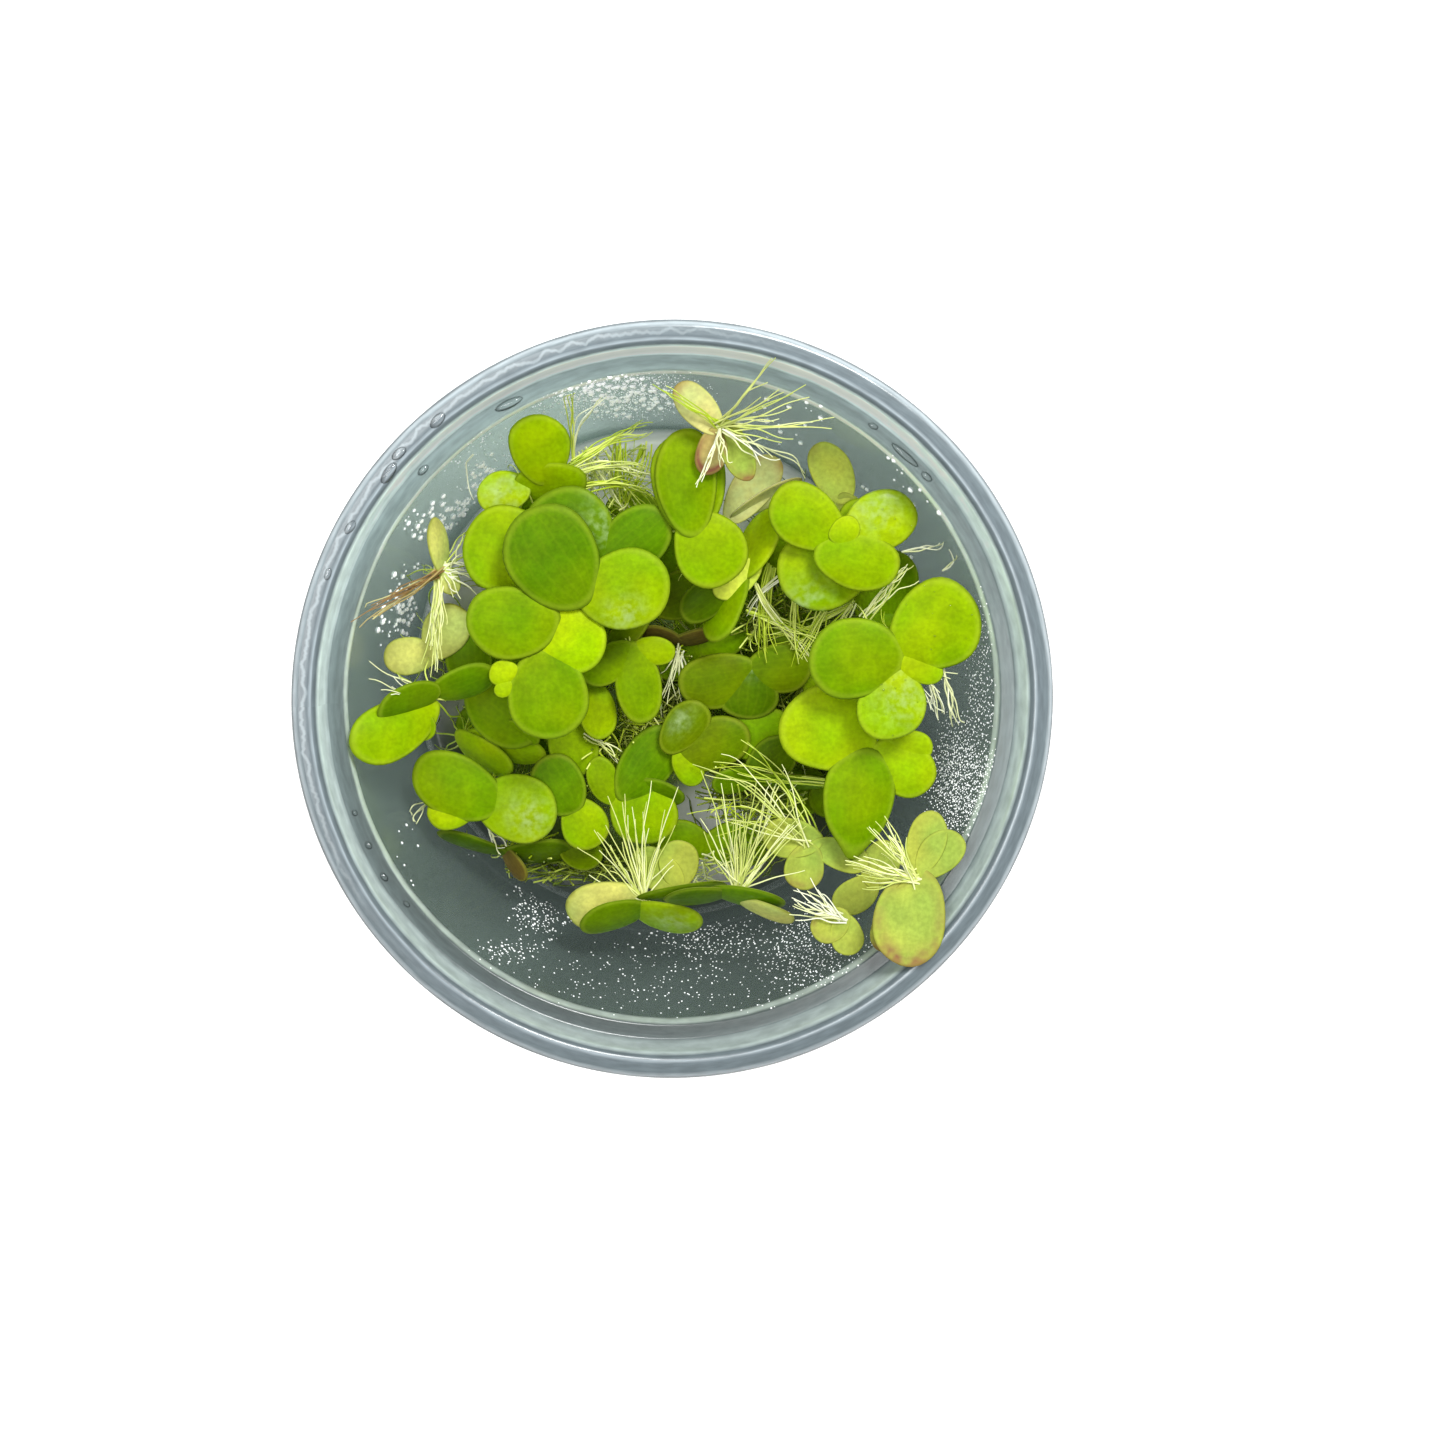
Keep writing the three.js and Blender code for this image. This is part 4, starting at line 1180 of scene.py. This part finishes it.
plant("bottom_right_round", (15.1, -16.6), [
    frond(-98, 4.7, 4.4, (0, -0.6), blush=1),
    frond(175, 6, 4.5, (1, 0.3)),
    frond(-20, 6.2, 3.6, (0.9, -0.4)),
], [tuft(146, 10.5, 1.5, 7, 34)], face_down=True, hang=0, strays=[
    *stray([(13.4, -14.4, 21), (9.5, -8.5, 21), (3.2, -6.6, 19)], 4, 1.0, "pale", 1),
    *stray([(13, -14, 21), (9.5, -11, 20), (4, -11.5, 18)], 4, 1.4, "green", 2),
    *stray([(14, -13.5, 21), (12.5, -9, 20), (7, -5, 19)], 4, 1.1, "green", 3),
    *stray([(16.2, -8.4, 20), (11, -8, 19), (4.4, -6.8, 18)], 5, 0.7, "green", 4),
    *stray([(8.6, -14.8, 20), (9.6, -10, 20), (11.6, -7.6, 18)], 4, 0.8, "pale", 5),
])
plant("bottom_right_wall", (18.1, -23.8), [
    frond(205, 3.9, 3.8, (0.3, 0.1), blush=0.9),
    frond(-70, 4.1, 3.6, blush=0.4),
], [tuft(145, 7.2, 0.5, 18, 40, "white")], face_down=True, hang=0)
plant("top_wet_plant", (6.5, 19.1), [
    frond(50, 8.3, 4.8, roll=15, tone="pale", blush=1, wet=(0, 0, 0.6)),
    frond(28, 8.2, 4, (0.6, 0.2), roll=60, tone="pale", blush=0.6),
], face_down=True, hang=0)
plant("top_olive_plant", (18.9, 21), [
    frond(115, 6.7, 4.5, tone="light", blush=0.5),
    frond(-60, 5, 4, tone="olive"),
], face_down=True, hang=0)

# Plants on top of the heap
# The largest and freshest colonies, lying flat over the rest. Two have tipped on their sides at the front,
# and two lie upside down with their roots fanned out, one of them over the rim's ledge.
plant("large_left_lower", (-13.5, 15.2), [
    frond(175, 8.9, 9.2, tone="bright"),
    frond(-48, 7.4, 6.8, tone="mid"),
])
plant("large_back", (-7.3, 14.2), [
    frond(137, 10, 9, tone="deep", wet=(-0.3, -0.6, 0.4)),
    frond(38, 8.6, 6.6, tone="deep"),
])
plant("left_trio", (-12.95, 6.5), [
    frond(178, 9.6, 7.7, (0.5, 1.7), lift=0.4, tone="mid", blush=0.2),
    frond(-28, 7.3, 6.8, (-0.9, 1.3), tone="warm"),
    frond(-82, 9.1, 8.9, (-0.8, -1.7), tone="mid"),
    frond(190, 2.7, 2.7, (-4, -3.6), tone="fresh"),
    frond(200, 1.9, 1.8, (-4.3, -5.2), tone="fresh"),
])
plant("large_left", (-9.4, 10.7), [
    frond(15, 9.2, 8.8, tone="bright", blush=0.2, wet=(-0.1, -0.6, 0.36)),
    frond(125, 11.3, 9.8, lift=0.3, tone="deep", blush=0.2),
    frond(15, 2, 2, (6.5, 1.9), tone="fresh"),
])
plant("right_lower_trio", (21.65, -6.2), [
    frond(153, 10.4, 9.3, (-0.2, -0.3), tone="fresh", blush=0.2),
    frond(-97, 10.8, 7.8, (-0.6, -0.2), lift=0.3, full=-0.1, tone="mid", blush=0.3, peak=1.2),
    frond(-30, 7.3, 5.9, (0.7, -0.1), tone="fresh", blush=0.3),
    frond(-10, 4.5, 3.6, (2.5, 0.8), tone="fresh"),
])
plant("right_upper_trio", (23.8, 5), [
    frond(32, 9.6, 9.6, (0.3, 0.5), rise=5, tone="bright", blush=0.2, dew=0.25),
    frond(190, 9.5, 8.9, (0.3, -0.2), lift=0.2, tone="mid", blush=0.3),
    frond(-18, 4.8, 3.4, (0.6, -1.2), tone="fresh", blush=0.2),
    frond(-93, 7.8, 7.4, (-0.3, -1.9), tone="fresh", blush=0.2, wet=(-0.1, 0.3, 0.6), dew=0.8),
], [tuft(-37, 8, -0.5, 9, 40, "white")], strays=[
    *stray([(26.2, 3.4, 27), (27.4, 1, 27), (27.5, -1.3, 25)], 6, 0.2, "white", 1),
    *stray([(28.2, 3.6, 27), (28.9, 0.6, 27), (29.5, -1.9, 25)], 6, 0.2, "white", 2),
    *stray([(24.3, 3, 26), (25.3, 1.4, 26), (26.2, 0.3, 25)], 4, 0.25, "white", 3),
])
plant("top_right_lower", (21.6, 15.4), [
    frond(199, 10.5, 8.8, tone="bright", wet=(0.6, 0.6, 0.4)),
    frond(110, 6, 5, tone="mid"),
], strays=[
    *stray([(12.7, 14.3, 21), (12.6, 9.6, 19), (12.4, 4.6, 17)], 12, 0.6, "green", 1),
    *stray([(16.3, 12, 21), (15.2, 8.4, 19), (12.5, 5.4, 17)], 10, 0.7, "green", 2),
    *stray([(8.2, 12.8, 20), (9.6, 9.4, 19), (14, 4.8, 17)], 12, 0.35, "pale", 3),
    *stray([(13.6, 14.6, 21), (9.4, 13.4, 20), (8, 9.6, 18)], 5, 0.4, "white", 4),
    *stray([(7.6, 9.8, 18), (11.4, 8.6, 19), (16, 6.2, 18)], 8, 0.5, "green", 11),
    *stray([(10, 14.4, 19), (8.8, 9.6, 19), (10, 4.4, 17)], 10, 0.6, "green", 12),
    *stray([(20, 9.2, 21), (22.6, 12.2, 23), (24.4, 13.8, 23)], 9, 0.8, "pale", 5),
    *stray([(18.6, 10.4, 21), (17.6, 8.8, 19), (17.2, 7.2, 17)], 7, 0.4, "pale", 6),
    *stray([(18.4, 10.6, 20), (14, 7.4, 18), (9.6, 7.4, 17)], 7, 0.7, "green", 7),
    *stray([(9.4, 10.4, 17), (8.2, 8, 16), (8.8, 5.8, 16)], 9, 0.6, "green", 8),
    *stray([(23.8, 15.9, 23), (25.8, 16.2, 24), (27.9, 17, 26)], 3, 0.15, "white", 9),
    *stray([(28, 13.9, 25), (29.4, 14.6, 26), (29.7, 16.2, 27)], 2, 0.1, "white", 10),
])
plant("top_right_trio", (18.4, 17), [
    frond(146, 8.4, 6.8, (-0.4, 0.1), tone="bright", blush=0.3, dew=0.2),
    frond(22, 8, 6.4, (0.5, 0.1), tone="fresh", blush=0.3, wet=(0.1, 0.4, 0.6), dew=1),
    frond(-12, 9, 6, (-2.6, -1.6), lift=0.3, tone="bright", blush=0.3),
    frond(30, 3, 2.9, (-0.9, 0.2), lift=0.5, tone="fresh"),
])
plant("top_middle_pair", (2, 18.2), [
    frond(-60, 8.2, 7.6, (-0.1, 1), tone="bright", blush=0.4),
    frond(95, 11.3, 6.4, (0.2, -0.6), lift=0.4, tone="mid", blush=0.3),
    frond(92, 10.4, 8, (0, -0.3), lift=-0.3, tone="mid"),
], strays=[
    *tangle((-6, 24), (4.5, 4), 10, 20, 34, "pale", 1),
    *tangle((-5, 19.5), (2.5, 2), 12, 18, 16, "green", 2),
])
plant("tipped_left", (-3, -23.4), [
    frond(189, 7.9, 5.9, (-0.7, 0.4), roll=-18, tone="aged", blush=1),
    frond(197, 7.4, 5.2, (0.1, -0.7), roll=-44, tone="deep"),
    frond(8, 9.5, 5.5, (0, 0.4), roll=64, tone="deep"),
    frond(-16, 7.4, 5.5, (-0.5, -0.7), roll=45, tone="bright", blush=0.3, wet=(0.2, 0, 0.5)),
], [tuft(127, 11, 1.5, 13, 30), tuft(100, 14, 2, 13, 26), tuft(75, 10, 1, 10, 34)], hang=0)
plant("tipped_right", (7.3, -21.8), [
    frond(185, 7, 5, (-1.2, 0), roll=-60, tone="shade"),
    frond(-12, 8, 5.5, (-2.6, 0.2), roll=60, tone="deep"),
    frond(-22, 6, 4, (0.7, -1), roll=60, tone="aged", blush=1),
], [tuft(108, 11, 1.5, 12, 26), tuft(82, 15, 3, 14, 26), tuft(56, 12, 1.5, 12, 30)], hang=0)
plant("large_bottom_right", (25.5, -18.9), [
    frond(-98, 10, 7.6, (0.2, 0.6), rise=11, roll=8, blush=1.6),
    frond(-118, 8, 3.8, (-0.4, -0.6), blush=1.2),
    frond(72, 6.6, 4.3, (0.1, 0.9), blush=0.2),
    frond(40, 5.6, 4.4, (0.7, 0.9), blush=0.2),
], [tuft(122, 7.5, 0.5, 26, 18), tuft(172, 8, -1, 20, 26)], face_down=True, hang=0)
plant("upturned_top", (4.9, 29), [
    frond(132, 6.2, 3.8, (-0.4, -0.3), rise=6, tone="pale", blush=0.9),
    frond(-103, 4.6, 3.3, (-0.5, -0.8), rise=-12, tone="red", blush=3),
    frond(-66, 6.4, 3.2, (0.7, 0), rise=-8, blush=1.6),
], [tuft(54, 11.6, 7, 4, 6), tuft(2, 12, 2, 10, 16), tuft(31, 11, 6, 5, 10),
    tuft(146, 10, 3, 6, 6, "green")], face_down=True, hang=0, strays=[
    *stray([(4.6, 28.6, 30), (4, 25.6, 31.5), (2, 23.2, 31)], 4, 0.15, "white", 1),
    *stray([(4.7, 28.6, 30), (4.6, 27, 31.5), (5, 25.4, 31)], 4, 0.2, "white", 2),
    *stray([(5, 28.6, 30), (7, 27.4, 31), (9.4, 25.8, 29)], 6, 0.4, "white", 3),
    *stray([(6.6, 27.6, 29), (10.5, 26.8, 26), (14, 23.8, 22)], 2, 0.1, "white", 4),
])

# Dew on the fronds
# Fine drops of clear water that the freshest fronds carry on the side that faces up. Only the waxy skin
# holds them, and they lie flat on it.
dewy_mesh = bpy.data.meshes.new("dewy_faces")
dewy_mesh.from_pydata(np.concatenate(dewy_corners) * mm, [], dewy_faces)
dewy_mesh.attributes.new("damp", "FLOAT", "POINT").data.foreach_set("value", dewiness)
scattered("frond_dew", dewy_mesh, {
    "Drops per square metre": 0.4e6,
    "Smallest drop": 0.04 * mm,
    "Largest drop": 0.14 * mm,
    "Flatness": 0.5,
    "Seed": 7,
    "Material": clear_water,
})
